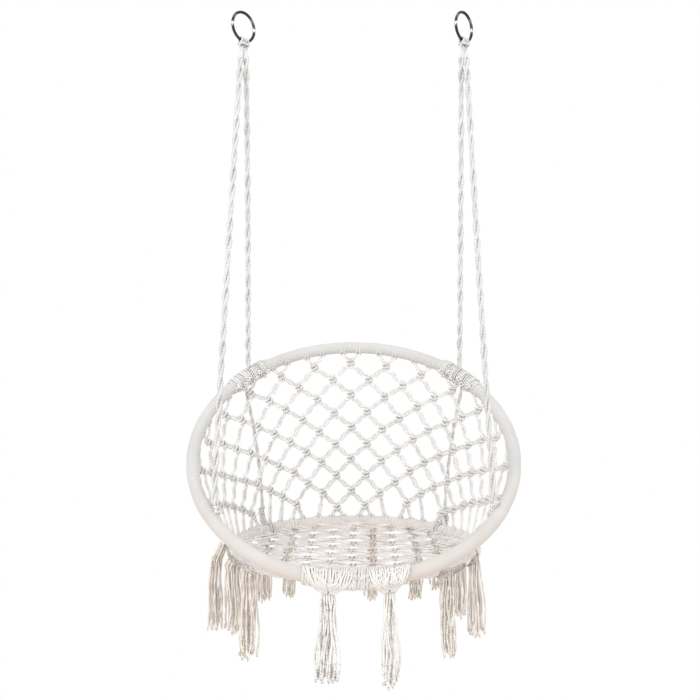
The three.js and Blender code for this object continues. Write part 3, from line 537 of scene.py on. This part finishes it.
def back_net():
    """Pairs of cords from loops on the hoop through square knots to loops on the seat ring."""
    mesh = Mesher()
    last = 2 * (COLUMNS - 1)
    knots, lower = {}, {}
    for row in range(ROWS):
        for half in range(row % 2, last + 1, 2):
            a = MIDDLE + (half - last / 2) * PITCH / 2
            dist = FIRST_KNOT + row * NET_ROW
            p = net_point(a, dist)
            from_seat = hypot(hypot(p.x, p.y) - SEAT_R, p.z)
            if dist >= (hoop_point(a) - seat_point(a)).length or from_seat <= TUBE + FOOT_ROOM:
                continue
            ja = a + radians(rng.uniform(-0.35, 0.35))
            jd = dist + rng.uniform(-0.0025, 0.0025)
            across, down, normal = net_frame(ja, jd)
            lean = rng.uniform(-0.12, 0.12)
            leant = across * cos(lean) + down * sin(lean)
            upright = down * cos(lean) - across * sin(lean)
            knots[half, row] = {"place": net_point(ja, jd), "frame": (leant, upright, normal), "angle": a}

    for (half, row), knot in knots.items():
        lower[half, row] = {}
        for side in (-1, 1):
            beside = half + side
            if (beside, row + 1) in knots:
                way = (beside, row + 1)
            elif (half, row + 2) in knots and not 0 <= beside <= last:
                way = (half, row + 2)
            else:
                foot = knot["angle"] + side * LEG_SPREAD
                way = tail(foot)
                mesh.cord(bar_over("seat", foot, knot["place"]), NET_CORD / 2, NET_STEP)
            lower[half, row][side] = way
    paths = []
    for half in range(0, last + 1, 2):
        knot = knots[half, 0]
        for side in (-1, 1):
            a = knot["angle"] + side * LEG_SPREAD
            for kind in ("inner", "outer"):
                loop = wrap_end("hoop", a, knot["place"], kind)
                head = loop[::-1] + [loop[0].lerp(knot["place"], 0.5)]
                paths.append(follow(knots, lower, (half, 0), side, kind, head))
            mesh.cord(bar_over("hoop", a, knot["place"]), NET_CORD / 2, NET_STEP)
    for path in paths:
        mesh.cord(path, NET_CORD / 2, NET_STEP, depth=0.11, phase=rng.uniform(0, 6))
    mesh.piece("back_net_cords", mat_net, ["back_net"], "net_cotton")


# ---- the seat net
SEAT_CORD = 0.0043
SEAT_FIRST, SEAT_COLUMN, SEAT_ROW = 0.048, 0.0504, 0.0375
SEAT_SAG = 0.006
# the places of a seat knot's four hitches along the cords, and their slants
SEAT_HITCHES = ((-0.0075, 0.0006), (-0.0027, -0.0022), (0.0027, 0.0022), (0.0075, -0.0006))


def seat_bundle(mesh, a, b, foot_a=None, foot_b=None):
    """Four cords from knot to knot, or from a knot to where they pass round the ring at a foot's angle."""
    along = (b - a).normalized()
    across = UP.cross(along).normalized()
    for i in range(4):
        u = i - 1.5
        lift = SEAT_CORD * ((0.2 if i % 2 else -0.2) + rng.uniform(-0.1, 0.1))
        spread = SEAT_CORD * (1.06 + rng.uniform(-0.06, 0.16))
        wave = rng.uniform(-0.0016, 0.0016)
        points = []
        for share in (0.0, 0.12, 0.3, 0.5, 0.7, 0.88, 1.0):
            wide = 1.0
            if (foot_a if share < 0.5 else foot_b) is None:
                wide = 0.42 + 0.58 * min(1.0, min(share, 1 - share) / 0.28)
            q = a.lerp(b, share) + across * (u * spread * wide) + UP * (lift * (1.2 - wide * 0.4))
            points.append(q + UP * (wave * sin(pi * share) * 2))
        for foot, sign in ((foot_a, -1), (foot_b, 1)):
            if foot is None:
                continue
            angle = foot + u * spread / SEAT_R * sign * 1.1
            psi = psi_of("seat", angle, points[2 if sign < 0 else -3])
            turns = []
            for k in range(10):
                pressed = TUBE - SEAT_CORD * 0.2 + (SEAT_CORD * 0.4 if k < 2 else 0)
                way = (1 if i % 2 else -1) * k / 9 * pi * 1.5
                turns.append(round_ring("seat", angle, psi + way, pressed))
            points = turns[::-1] + points[2:] if sign < 0 else points[:-2] + turns
        mesh.cord(points, SEAT_CORD / 2, lay=0.017, phase=rng.uniform(0, 6))


def ring_hit(place, way):
    """The angle where a line from a knot meets the seat ring's middle line."""
    flat = Vector((place.x, place.y, 0))
    b = flat.dot(way)
    q = flat + way * (-b + sqrt(max(b * b - flat.length_squared + SEAT_R**2, 0)))
    return atan2(q.y, q.x)


def seat_net():
    """Bundles of four cords across the seat, drawn together in broad knots."""
    mesh, hitches = Mesher(), Mesher()
    edge = SEAT_R - TUBE - 0.003
    knots = {}
    for col in range(-14, 7):
        for row in range(-7, 8):
            place = Vector((SEAT_FIRST + col * SEAT_COLUMN, row * SEAT_ROW, 0))
            if (col + row) % 2 or place.length >= edge - 0.037:
                continue
            sag = -SEAT_SAG * (1 - (place.length / edge) ** 2)
            knots[row, col] = place + Vector((rng.uniform(-0.003, 0.003), rng.uniform(-0.002, 0.002), sag))

    for (row, col), place in knots.items():
        for side in (-1, 1):
            for way in (1, -1):
                other = knots.get((row + side, col + way))
                if other is not None:
                    if way > 0:
                        seat_bundle(mesh, place, other)
                    continue
                angle = ring_hit(place, Vector((way * SEAT_COLUMN, side * SEAT_ROW, 0)).normalized())
                on_ring = seat_point(angle) - level_way(angle) * TUBE
                if way > 0:
                    seat_bundle(mesh, place, on_ring, foot_b=angle)
                else:
                    seat_bundle(mesh, on_ring, place, foot_a=angle)
        # the knot: hitches round the gathered cords, the middle ones slanting
        for k, (shift, slant) in enumerate(SEAT_HITCHES):
            loop = []
            for j in range(18):
                t = TURN * j / 18
                swell = 1 + 0.05 * sin(3 * t + k)
                x = shift + slant * cos(t)
                loop.append(place + Vector((x, cos(t) * 0.0092 * swell, sin(t) * 0.0044 * swell)))
            hitches.tube(shifted(loop), 0.0019, closed=True, depth=0.24, lay=0.009, phase=k)
    mesh.piece("seat_net_cords", mat_seat, ["seat_net"], "net_cotton")
    hitches.piece("seat_net_knots", mat_knot, ["seat_net"], "net_cotton")


# ---- ropes, hitches and ties
HITCH_CORD, HITCH_LAY, HITCH_STEP = 0.0055, 0.02, 0.002
# the space between loops along a hanging ring's wire, and the height where strands leave the loops
LOOP_SPACE, STRANDS_Z = 0.0062, -0.088
ROPE_STRAND, ROPE_TWIST, ROPE_PITCH = 0.0041, 0.0078, 0.084
LOWER_STRAND, LOWER_TWIST, LOWER_PITCH = 0.0028, 0.0056, 0.07
# turns of a lower rope's end round the seat ring, and how far the back ones stand off the rings
LOWER_TURNS, LOWER_OFF = 1.3, 0.0165
# a tie's length along the hoop, its cord and layers, and how many cords deep it is sunk
TIE_BACK, TIE_FRONT = (0.128, 0.0048, 2), (0.046, 0.0046, 1, 0.66)
# each end's tie on the hoop and foot on the seat ring, in degrees on the left side
ROPE_ENDS = (("front", 212, 182), ("back", 137, 142.5))


def two_ply(start, end, cord, pitch, phase, bow=0.0):
    """Paths of two cords twisted round each other along a line."""
    length = (end - start).length
    t = (end - start).normalized()
    a = (ACROSS - t * t.x).normalized()
    b = t.cross(a)
    out = []
    for k in (0, 1):
        points = []
        for share in shares(int(length / STEP)):
            s = share * length
            turn = phase + TURN * s / pitch + k * pi
            reach = cord * 0.52 * (0.9 + 0.2 * sin(s * 47 + phase))
            beside = cos(turn) * reach + bow * sin(pi * share)
            points.append(start.lerp(end, share) + a * beside + b * (sin(turn) * reach))
        out.append(points)
    return out


def tie_wraps(mesh, middle, length, cord, layers, sunk=0.0):
    """Cord wound many times round the hoop, not quite even, in one or more layers."""
    for layer in range(layers):
        span = length * (1 - 0.16 * layer)
        turns = max(2, int(span / (cord * 1.06)))
        reach = TUBE + cord * (0.2 + 0.72 * layer - sunk)
        points = []
        for share in shares(turns * 16):
            psi = share * turns * TURN * (1 if layer % 2 == 0 else -1) + 1.1 * layer
            wobble = cord * 0.35 * sin(share * 23 + layer) if layer else 0.0
            a = middle + ((share - 0.5) * span + wobble) / HOOP_R
            points.append(round_ring("hoop", a, psi, reach + cord * 0.12 * sin(share * 61 + 2 * layer)))
        mesh.cord(points, cord / 2, lay=0.017, phase=layer)


def ball_knot(mesh, place, size, cord, seed, axis=UP, points=60, sides=6):
    """A round pulled-tight knot: three loops crossing over one another."""
    phase = random.Random(seed).uniform(0, 6)
    axis = axis.normalized()
    ref = ACROSS if abs(axis.x) < 0.8 else BACK
    a = (ref - axis * ref.dot(axis)).normalized()
    b = axis.cross(a)
    loop = []
    for i in range(points):
        t = TURN * i / points
        r = size * (0.62 + 0.2 * cos(3 * t + phase))
        flat = a * (cos(2 * t + phase) * r) + b * (sin(2 * t + phase) * r * 0.9)
        loop.append(place + flat + axis * (sin(3 * t) * size * 0.55))
    mesh.tube(shifted(loop), cord / 2, sides=sides, closed=True, lay=0.017)


def hitch(name, hx, centre, wire_way):
    """Loops of the rope's strands on a hanging ring. Returns where its four strands leave."""
    mesh = Mesher()
    starts = []
    half = HITCH_CORD / 2
    reach = WIRE / 2 + half + 0.0003
    for i in range(4):
        lean = (i - 1.5) * LOOP_SPACE / RING_R
        down = -UP * cos(lean) + wire_way * sin(lean)
        tangent = UP * sin(lean) + wire_way * cos(lean)
        out = down.cross(tangent)
        bottom = centre + down * RING_R
        face = 1 if i in (0, 3) else -1
        points = []
        for share in shares(12):
            ang = pi * (-0.25 + 1.5 * share)
            points.append(bottom + down * (-sin(ang) * reach) + out * (cos(ang) * reach * -face))
        points.append(bottom + down * 0.016 + tangent * (0.0009 * (1.5 - i)) + out * (-0.001 * face))
        low = Vector((bottom.x, bottom.y, STRANDS_Z)).lerp(Vector((hx, 0, STRANDS_Z)), 0.35)
        mesh.tube(spline(points + [low], HITCH_STEP), half, lay=HITCH_LAY, phase=i)
        starts.append(low)
    out = wire_way.cross(UP)
    # the short cords that lie across the loops: places along the wire and off its face
    across = ((-0.0068, -0.005), (-0.0045, 0.0012), (0, 0.0022), (0.0045, 0.0012), (0.0068, -0.005))
    for pair in (-0.5, 0.5):
        below = centre - UP * RING_R + wire_way * (pair * 2 * LOOP_SPACE) - UP * (WIRE / 2 + HITCH_CORD * 0.9)
        for face in (1, -1):
            base = below + out * (face * (WIRE / 2 + HITCH_CORD * 0.55))
            points = [base + wire_way * u + out * (face * v) for u, v in across]
            mesh.tube(spline(points, HITCH_STEP), half, lay=HITCH_LAY)
    mesh.piece(f"{name}_hitch_loops", mat_rope, [f"{name}_hitch"], "rope_cotton", "hanging_rings")
    return starts


def hanging_ring(name, centre, wire_way):
    """A polished ring of round wire, with its weld at the top."""
    mesh = Mesher()

    def on_ring(t):
        return centre + wire_way * (sin(t) * RING_R) + UP * (cos(t) * RING_R)

    smooth = {"sides": 18, "depth": 0.0, "lay": 10.0}
    mesh.tube([on_ring(TURN * i / 96) for i in range(96)], WIRE / 2, closed=True, **smooth)
    # the weld is a low collar
    weld = [on_ring(radians(-9 + 2.25 * i)) for i in range(9)]
    radii = [WIRE / 2 * (0.98 + 0.12 * cos(radians(-90 + 22.5 * i))) for i in range(9)]
    mesh.tube(weld, WIRE / 2, radii=radii, **smooth)
    mesh.piece(f"{name}_ring_polished", mat_chrome_painted_glints, [f"{name}_hanging_ring"], "chrome", "hanging_rings")


def rope(name, top, meet, strands):
    """Two strands from the hitch, twisted down to the tie."""
    m = Mesher()
    twisted = two_ply(top, meet, ROPE_TWIST, ROPE_PITCH, rng.uniform(0, 6), bow=rng.uniform(-0.002, 0.002))
    for k in (0, 1):
        start = strands[k] - ORIGIN
        m.cord([start + UP * 0.006, start] + twisted[k][3:], ROPE_STRAND, lay=0.02, phase=k)
    obj = m.piece(f"{name}_rope_cords", mat_rope, [f"{name}_rope"], "rope_cotton", None)
    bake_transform(obj)


def tie(name, end, side, tie_a):
    """Cord wound on the hoop where a rope ends, with knots on it."""
    m = Mesher()
    if end == "back":
        tie_wraps(m, tie_a, *TIE_BACK)
        inner = psi_of("hoop", tie_a, hoop_point(tie_a) - hoop_radial(tie_a))
        for j in range(9):
            psi = inner + (-0.5, 0.35, -0.1)[j % 3]
            spot = round_ring("hoop", tie_a + side * (-0.14 + 0.034 * j), psi, TUBE + 0.0075)
            ball_knot(m, spot, 0.0075, 0.0044, 7 * j + side)
        local = random.Random(5 + side)
        for j in range(26):
            da = local.uniform(-0.11, 0.11)
            psi = -pi / 2 + local.uniform(-1.3, 0.9)
            ball_knot(m, round_ring("hoop", tie_a + da, psi, TUBE + 0.0058), 0.0040, 0.0030, 11 * j + side)
    else:
        tie_wraps(m, tie_a, *TIE_FRONT)
        local = random.Random(41 + side)
        for j in range(16):
            da = local.uniform(-0.055, 0.062)
            psi = pi + local.uniform(-0.8, 0.5)
            spot = round_ring("hoop", tie_a + da, psi, TUBE + local.uniform(0.003, 0.008))
            axis = Vector((local.uniform(-1, 1), local.uniform(-0.5, 0.5), local.uniform(-1, 1)))
            ball_knot(m, spot, local.uniform(0.0045, 0.0070), 0.0036, 3 * j + side, axis=axis)
    m.piece(f"{name}_tie_cords", mat_net, [f"{name}_tie"], "net_cotton")


def lower_rope(name, end, side, tie_a, foot_a):
    """The rope's run from the hoop to the seat ring, wound round the ring."""
    m = Mesher()
    foot, high = seat_point(foot_a), hoop_point(tie_a)
    down = (foot - high).normalized()
    outward = level_way(foot_a)
    outward = (outward - down * outward.dot(down)).normalized() * LOWER_OFF
    if end == "front":
        first, last, bow = high + down * (TUBE + 0.002), foot - down * (TUBE + 0.002), 0.0
    else:
        first, last = high + outward * 1.1 + down * 0.004, foot + outward * 1.05 - down * 0.002
        bow = -side * 0.011
    psi = psi_of("seat", foot_a, last)
    for k, path in enumerate(two_ply(first, last, LOWER_TWIST, LOWER_PITCH, rng.uniform(0, 6), bow)):
        sign = 1 if k else -1
        turns = []
        for share in shares(14):
            shift = sign * 0.0052 * (0.3 + 1.5 * share)
            wound = psi + sign * share * LOWER_TURNS * TURN
            turns.append(round_ring("seat", foot_a, wound, TUBE + 0.0030, shift))
        m.cord(path[:-2] + turns, LOWER_STRAND, lay=0.018, phase=k)
    if end == "back":
        # the rope's end is hitched round itself above the ring
        local = random.Random(61 + side)
        for j in range(12):
            spot = last - down * (0.006 + 0.0045 * j) - ACROSS * (side * local.uniform(-0.004, 0.006))
            spot += BACK * local.uniform(-0.006, 0.003)
            ball_knot(m, spot, local.uniform(0.0055, 0.0080), 0.0044, 17 * j + side, axis=down)
    m.piece(f"{name}_lower_rope_cords", mat_rope, [f"{name}_lower_rope"], "rope_cotton")


def ropes():
    wire_way = level_way(RING_TURN)
    for side, name in ((-1, "left"), (1, "right")):
        hx = side * HOOK_SPAN / 2
        centre = Vector((hx, 0, RING_Z))
        starts = hitch(name, hx, centre, wire_way)
        hanging_ring(name, centre, wire_way)
        for end, *places in ROPE_ENDS:
            tie_a, foot_a = (radians(deg if side < 0 else 180 - deg) for deg in places)
            # the front rope takes the outer pair of strands, and the back rope the inner pair
            outer = side if end == "front" else -side
            top = Vector((hx + outer * 0.006, 0, PIVOT_Z)) - ORIGIN
            up = (top - hoop_point(tie_a)).normalized()
            lean = (up * 0.55 - hoop_radial(tie_a) * 0.83).normalized() if end == "front" else up
            meet = hoop_point(tie_a) + lean * (TUBE + 0.0055)
            rope(f"{name}_{end}", top, meet, starts[:2] if outer < 0 else starts[2:])
            tie(f"{name}_{end}", end, side, tie_a)
            lower_rope(f"{name}_{end}", end, side, tie_a, foot_a)


# ---- front binding
BINDING_CORD, BINDING_LEFT, BINDING_RIGHT = 0.0070, -0.105, 0.111
# the two places across where the binding is drawn down into a tassel, and their half widths
GATHERS = ((-0.0525, 0.042), (0.0735, 0.033))
GATHER_HEIGHT = 0.062
# the section angle where cords leave the tube, and how far back they hang for each metre down
LEAVE, HANG_BACK = -0.75, 0.22


def both_tubes(x, share, clear):
    """A point of the path round both tubes at a place across the front: share 0 to 1 round the outline."""
    rear, front = seat_point(front_angle(x, SEAT_R)), hoop_point(front_angle(x, HOOP_R))
    rear, front = Vector((x, rear.y, rear.z)), Vector((x, front.y, front.z))
    forward = front - rear
    gap = forward.length
    forward.normalize()
    rise = forward.cross(ACROSS).normalized()
    r = TUBE + clear
    bend = pi * r
    s = (share % 1) * (2 * bend + 2 * gap)
    for centre, other, start, top in ((front, rear, -pi / 2, r), (rear, front, pi / 2, -r)):
        if s < bend:
            ang = start + s / r
            return centre + forward * (cos(ang) * r) + rise * (sin(ang) * r)
        s -= bend
        if s < gap:
            return centre.lerp(other, s / gap) + rise * top
        s -= gap
    return rear.lerp(front, 1.0) - rise * r


def front_face(x, h, clear):
    """A point of the binding's front: h runs from the front tube's top, forward and down, then hangs free."""
    centre = hoop_point(front_angle(x, HOOP_R))
    centre.x = x
    r = TUBE + clear
    ang = max(pi / 2 - h / r, LEAVE)
    past = (ang - pi / 2) * r + h
    return centre + Vector((0, -cos(ang) * r + HANG_BACK * past, sin(ang) * r - past))


def binding():
    """One cord wound round both rings at the front, with small hitches on it."""
    m = Mesher()
    width = BINDING_RIGHT - BINDING_LEFT
    turns = int(width / (BINDING_CORD * 0.84))
    points = []
    for share in shares(turns * 26):
        x = BINDING_LEFT + width * share
        x += 0.0010 * sin(share * 71) * sin(share * turns * TURN)
        clear = 0.0022 + 0.0007 * sin(share * 57) + 0.0005 * sin(share * 233)
        points.append(both_tubes(x, share * turns, clear))
    m.cord(points, BINDING_CORD / 2, sides=8, depth=0.12, lay=0.010)
    # small tight hitches scattered over the wrapped cord
    local = random.Random(77)
    for i in range(46):
        x = local.uniform(BINDING_LEFT + 0.006, BINDING_RIGHT - 0.006)
        spot = front_face(x, local.uniform(0.006, 0.046), 0.0050)
        ball_knot(m, spot, local.uniform(0.0038, 0.0052), 0.0030, i)
    m.piece("front_binding_cords", mat_bind, ["front_binding"], "net_cotton")


# ---- tassels
TASSEL_DEPTH = 0.210
# each tassel's degrees round the seat ring, and its share of that depth
TASSELS = ((180, 0.96), (191, 0.94), (213.7, 1), (259.8, 1.03), (285.3, 1.08), (317, 0.95), (355, 1))
TASSELS += ((20, 0.96), (39, 0.73), (54, 0.93), (80, 1), (128, 0.87), (146, 0.84))
# one hangs out over the ring, two from the binding's gathers, two are wider, and one has wound cords
OUTRIGGER, GATHERED, WIDE, WOUND = 0, (3, 4), (1, 2), 6
# how far strands end above their solid's tip, and where hitches go on along the ring, in degrees
TIP_RISE = {1: 0.014, 3: 0.017, 4: 0.014, 5: 0.008, 6: 0.006}
HITCH_SPANS = {1: (184, 204), 2: (205, 222), 5: (309, 325), 6: (334, 355)}
# tassels whose foot lies a little outside the ring's middle line
FOOT_OUT = {1: 0.008, 6: 0.005}
GOLDEN_ANGLE = 2.39996
STRAND, GATHER_CORD, GATHER_STRAND = 0.0046, 0.0044, 0.0050


def strand(m, local, points, cord, tip_low):
    """One hanging cord through its points, a little swollen and frayed at the tip."""
    path = spline(points, STRAND_STEP)
    radii = []
    for share in shares(len(path) - 1):
        r = cord / 2 * (1 + 0.05 * sin(share * 40 + cord * 1e5))
        radii.append(r * (1 + 0.5 * max(0.0, share - 0.94) / 0.06))
    m.tube(shifted(path), cord / 2, lay=0.018, radii=radii, phase=local.uniform(0, 6))
    tip = points[-1]
    for _ in range(7):
        lean = level_way(local.uniform(0, TURN)) * local.uniform(0.0008, 0.0032)
        end = tip + lean - UP * local.uniform(0.003, 0.009)
        end.z = max(end.z, tip_low)
        fray = (tip + lean * 0.4, tip.lerp(end, 0.6) + lean * 0.2, end)
        m.tube(shifted(fray), 0.0007, sides=4, depth=0.0)


def hang(local, top, tip, way, face, wave):
    """Points of a strand that falls from top to tip, with soft bends."""
    b1, b2, b3 = (local.uniform(-wave, wave) for _ in range(3))
    phase = local.uniform(0, 6)
    points = []
    for k in (0.12, 0.26, 0.4, 0.54, 0.68, 0.82, 0.93):
        once, twice = sin(pi * k), sin(TURN * k)
        ripple = 0.4 * b3 * sin(phase + 15 * k) * once
        across = b1 * once + b2 * twice + ripple
        points.append(top.lerp(tip, k) + way * across + face * (b3 * once + 0.5 * b1 * twice))
    return points + [tip]


def gathered_tassel(m, local, index, depth, low):
    """Cords of the binding drawn down into a neck, crossing cords over them, and the hanging strands."""
    x0, width = GATHERS[index - GATHERED[0]]
    neck = front_face(x0, GATHER_HEIGHT, 0.004)
    # cords drawn from both sides of the binding down into the neck
    count = 9
    for i in range(count):
        for side in (-1, 1):
            w = width * (0.12 + 0.88 * i / (count - 1))
            rough = local.uniform(-0.0016, 0.0016)
            points = []
            for t in shares(8):
                narrow = max(0.0, cos(t * pi / 2)) ** 0.75
                x = x0 + side * (0.003 + 0.0010 * i + (w - 0.003) * narrow) + rough * sin(7 * t + i)
                clear = 0.0060 + 0.0012 * sin(pi * t) + 0.0009 * (i % 2) + rough * 0.3
                points.append(front_face(x, GATHER_HEIGHT * (0.10 + 0.90 * t), clear))
            m.cord(points, GATHER_CORD / 2, lay=0.012, phase=i)
    # cords that cross below, one under the other
    for i in range(4):
        w = width * (0.60 - 0.10 * i) * local.uniform(0.9, 1.08)
        tilt = local.uniform(-0.004, 0.004)
        points = []
        for share in shares(10):
            t = 2 * share - 1
            h = GATHER_HEIGHT * (0.93 - 0.09 * i) - 0.020 * (t * t) * (1 - 0.1 * i) + tilt * t
            points.append(front_face(x0 + w * t, h, 0.0094 - 0.0005 * i + 0.0006 * sin(9 * t + i)))
        m.cord(points, GATHER_CORD * 0.48, lay=0.012, phase=i)
    # small hitches scattered where the drawn cords cross
    for i in range(16):
        x = x0 + width * local.uniform(-0.75, 0.75)
        h = GATHER_HEIGHT * local.uniform(0.25, 0.85) - 0.012 * ((x - x0) / width) ** 2
        ball_knot(m, front_face(x, h, 0.0085), 0.0034, 0.0026, 91 * index + i)
    left = index == GATHERED[0]
    strands, top_w, low_w, shift = (16, 0.015, 0.024, -0.004) if left else (12, 0.0115, 0.0150, 0.0)
    for i in range(strands):
        u = (i + 0.5) / strands * 2 - 1
        deep = (i % 3 - 1) * 0.0055
        start = neck + ACROSS * (u * top_w * 0.55) + BACK * (0.006 + deep * 0.6) + UP * 0.010
        top = neck + ACROSS * (u * top_w) + BACK * (0.006 + deep) - UP * 0.010
        reach = u * low_w + local.uniform(-0.003, 0.003) + shift
        tip = Vector((neck.x, neck.y, -depth + local.uniform(-0.004, 0.012) + TIP_RISE[index]))
        tip += ACROSS * reach + BACK * (0.006 + deep)
        strand(m, local, [start, top] + hang(local, top, tip, ACROSS, BACK, 0.0055), GATHER_STRAND, low)


def ring_tassel(m, local, index, a, depth, low):
    """Cords hitched side by side under the seat ring, each with small knots, and hanging down."""
    strands = 20 if index in WIDE else 17
    top_r, low_r = (0.0185, 0.0225) if index in WIDE else (0.0145, 0.0185)
    centre, radial, _, along = section("seat", a)
    for i in range(strands):
        turn = i * GOLDEN_ANGLE + index
        r = sqrt((i + 0.5) / strands)
        u, v = cos(turn) * r, sin(turn) * r
        ai = a + u * (top_r + 0.003) / SEAT_R
        if index == OUTRIGGER:
            start = round_ring("seat", ai, 0.55 - 0.5 * v, TUBE - 0.001)
            arc = round_ring("seat", ai, 0.30 - 0.3 * v, TUBE + 0.015 + 0.011 * v)
            foot = centre + radial * (TUBE + 0.040)
            top = centre + radial * (TUBE + 0.033 + v * 0.014) + along * (u * 0.014) - UP * 0.030
        else:
            psi = -pi / 2 + 0.9 * v
            start = round_ring("seat", ai, psi, TUBE - 0.0015)
            arc = round_ring("seat", ai, psi, TUBE + 0.0015)
            foot = centre + radial * FOOT_OUT.get(index, 0.0)
            top = foot + along * (u * top_r) + radial * (v * top_r) - UP * 0.032
        tip = foot + along * (u * low_r) + radial * (v * low_r + (0.007 if index == WOUND else 0.0))
        tip += along * local.uniform(-0.005, 0.005) + radial * local.uniform(-0.005, 0.005)
        tip.z = -depth + local.uniform(-0.004, 0.018) + TIP_RISE.get(index, 0.0)
        strand(m, local, [start, arc, top] + hang(local, top, tip, along, radial, 0.0060), STRAND, low)
        if index == OUTRIGGER:
            if i % 2:
                ball_knot(m, arc, 0.0050, 0.0036, 31 + i)
        elif v < 0.3:
            for k in (0.1, 0.55):
                ball_knot(m, arc.lerp(top, k + 0.12 * (i % 3)), 0.0037, 0.0028, 53 * index + 5 * i)
    if index == WOUND:
        # cords wound over the outside of the seat ring
        for i in range(10):
            ai = radians(343 + 1.1 * i)
            bend = local.uniform(-0.003, 0.003) / SEAT_R
            turns = (1.5 - 2.9 * share for share in shares(10))
            wound = [round_ring("seat", ai + bend * psi, psi, TUBE + 0.0042) for psi in turns]
            m.cord(wound, STRAND / 2, lay=0.012, phase=i)
    return degrees((top_r + 0.004) / SEAT_R)


def hitch_rows(mesh, local, index, degrees_, half):
    """Rows of small hitches that hold the cords under the ring, on its outer and inner side."""
    shown = index in HITCH_SPANS
    first, last = HITCH_SPANS.get(index, (degrees_ - half, degrees_ + half))
    count = max(8, round((last - first) / 1.25))
    low, step, scale = (0.30, 0.34, 1.4) if shown else (0.42, 0.36, 1)
    for face, rows in ((-1, 4 if shown else 3), (1, 2)):
        for row in range(rows):
            psi = -pi / 2 - face * (low + step * row)
            for i in range(count):
                share = (i + 0.5 * (row % 2)) / (count - 0.5)
                ai = radians(first + share * (last - first) + local.uniform(-0.2, 0.2))
                size = local.uniform(0.0030, 0.0040) * scale
                spot = round_ring("seat", ai, psi, TUBE + 0.0016)
                ball_knot(mesh, spot, size, 0.0030, 31 * index + 7 * i + row, points=36, sides=4)


def tassels():
    hitches, hitched = Mesher(), []
    for index, (degrees_, share) in enumerate(TASSELS):
        m = Mesher()
        node = f"tassel_{index + 1:02d}"
        local = random.Random(100 + index)
        depth = TASSEL_DEPTH * share
        low = -depth - 0.008
        if index in GATHERED:
            gathered_tassel(m, local, index, depth, low)
        else:
            half = ring_tassel(m, local, index, radians(degrees_), depth, low)
            if index != OUTRIGGER:
                hitch_rows(hitches, local, index, degrees_, half)
                hitched.append(node)
        material = mat_front if index in GATHERED else mat_tassel
        m.piece(f"tassel_strands_{index + 1:02d}", material, [node], "tassel_cotton")
    hitches.piece("tassel_hitches", mat_hitch_painted_shade, hitched, "tassel_cotton")


# ---- put together
cover("hoop_cover_cloth", "hoop", "hoop_cover")
cover("seat_ring_cover_cloth", "seat", "seat_ring_cover")
back_net()
seat_net()
ropes()
binding()
tassels()

for name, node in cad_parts.items():
    inner = {"steel": mat_steel, "foam": mat_foam}.get(name.rsplit("_", 1)[-1])
    if inner:
        node.data.materials.clear()
        node.data.materials.append(inner)

# ---- floor, world and lamps
FLOOR_Z = ORIGIN.z - 0.60
FLOOR_HALF = 6.0


def white_to_the_camera(tree, node, lit, output):
    """Camera rays see plain white from a node of this kind, and all other rays the lit shader."""
    white = tree.nodes.new(node)
    put(white, {"Color": (1, 1, 1, 1), "Strength": 1.0})
    rays = tree.nodes.new("ShaderNodeLightPath")
    mixer = tree.nodes.new("ShaderNodeMixShader")
    for i, socket in enumerate((rays.outputs["Is Camera Ray"], lit.outputs[0], white.outputs[0])):
        tree.links.new(socket, mixer.inputs[i])
    tree.links.new(mixer.outputs[0], tree.nodes[output].inputs["Surface"])


floor_mesh = bpy.data.meshes.new("floor")
corners = [(x * FLOOR_HALF, y * FLOOR_HALF, FLOOR_Z) for x, y in ((-1, -1), (1, -1), (1, 1), (-1, 1))]
floor_mesh.from_pydata(corners, [], [(0, 1, 2, 3)])
placed("floor", floor_mesh)
floor_white, floor_tree, floor_shader = new_material("floor_white")
put(floor_shader, {"Base Color": (0.92, 0.85, 0.79, 1), "Roughness": 0.9})
white_to_the_camera(floor_tree, "ShaderNodeEmission", floor_shader, "Material Output")
floor_mesh.materials.append(floor_white)

world = bpy.data.worlds.new("world")
bpy.context.scene.world = world
world.use_nodes = True
sky = world.node_tree.nodes["Background"]
put(sky, {"Color": (1.0, 1.0, 1.0, 1), "Strength": 0.90})
white_to_the_camera(world.node_tree, "ShaderNodeBackground", sky, "World Output")


def lamp(name, place, aim, size, power):
    data = bpy.data.lights.new(name, "AREA")
    data.shape = "SQUARE"
    data.size = size
    data.energy = power
    obj = placed(name, data)
    obj.location = place
    obj.rotation_euler = (aim - place).to_track_quat("-Z", "Y").to_euler()


chair = ORIGIN + Vector((0, 0, 0.2))
lamp("key", ORIGIN + Vector((-1.4, -2.6, 1.7)), chair, 1.8, 34)
lamp("fill", ORIGIN + Vector((2.2, -2.0, 0.5)), chair, 2.2, 12)
lamp("top", ORIGIN + Vector((0.2, 0.6, 2.6)), chair, 1.6, 6)
# two small lamps aimed between the hanging rings, which glint on them
lamp("glint_left", Vector((-1.5, -1.6, 0.85)), Vector(), 0.3, 3)
lamp("glint_right", Vector((1.5, -1.6, 0.85)), Vector(), 0.3, 3)

bpy.context.scene.view_settings.view_transform = "Standard"
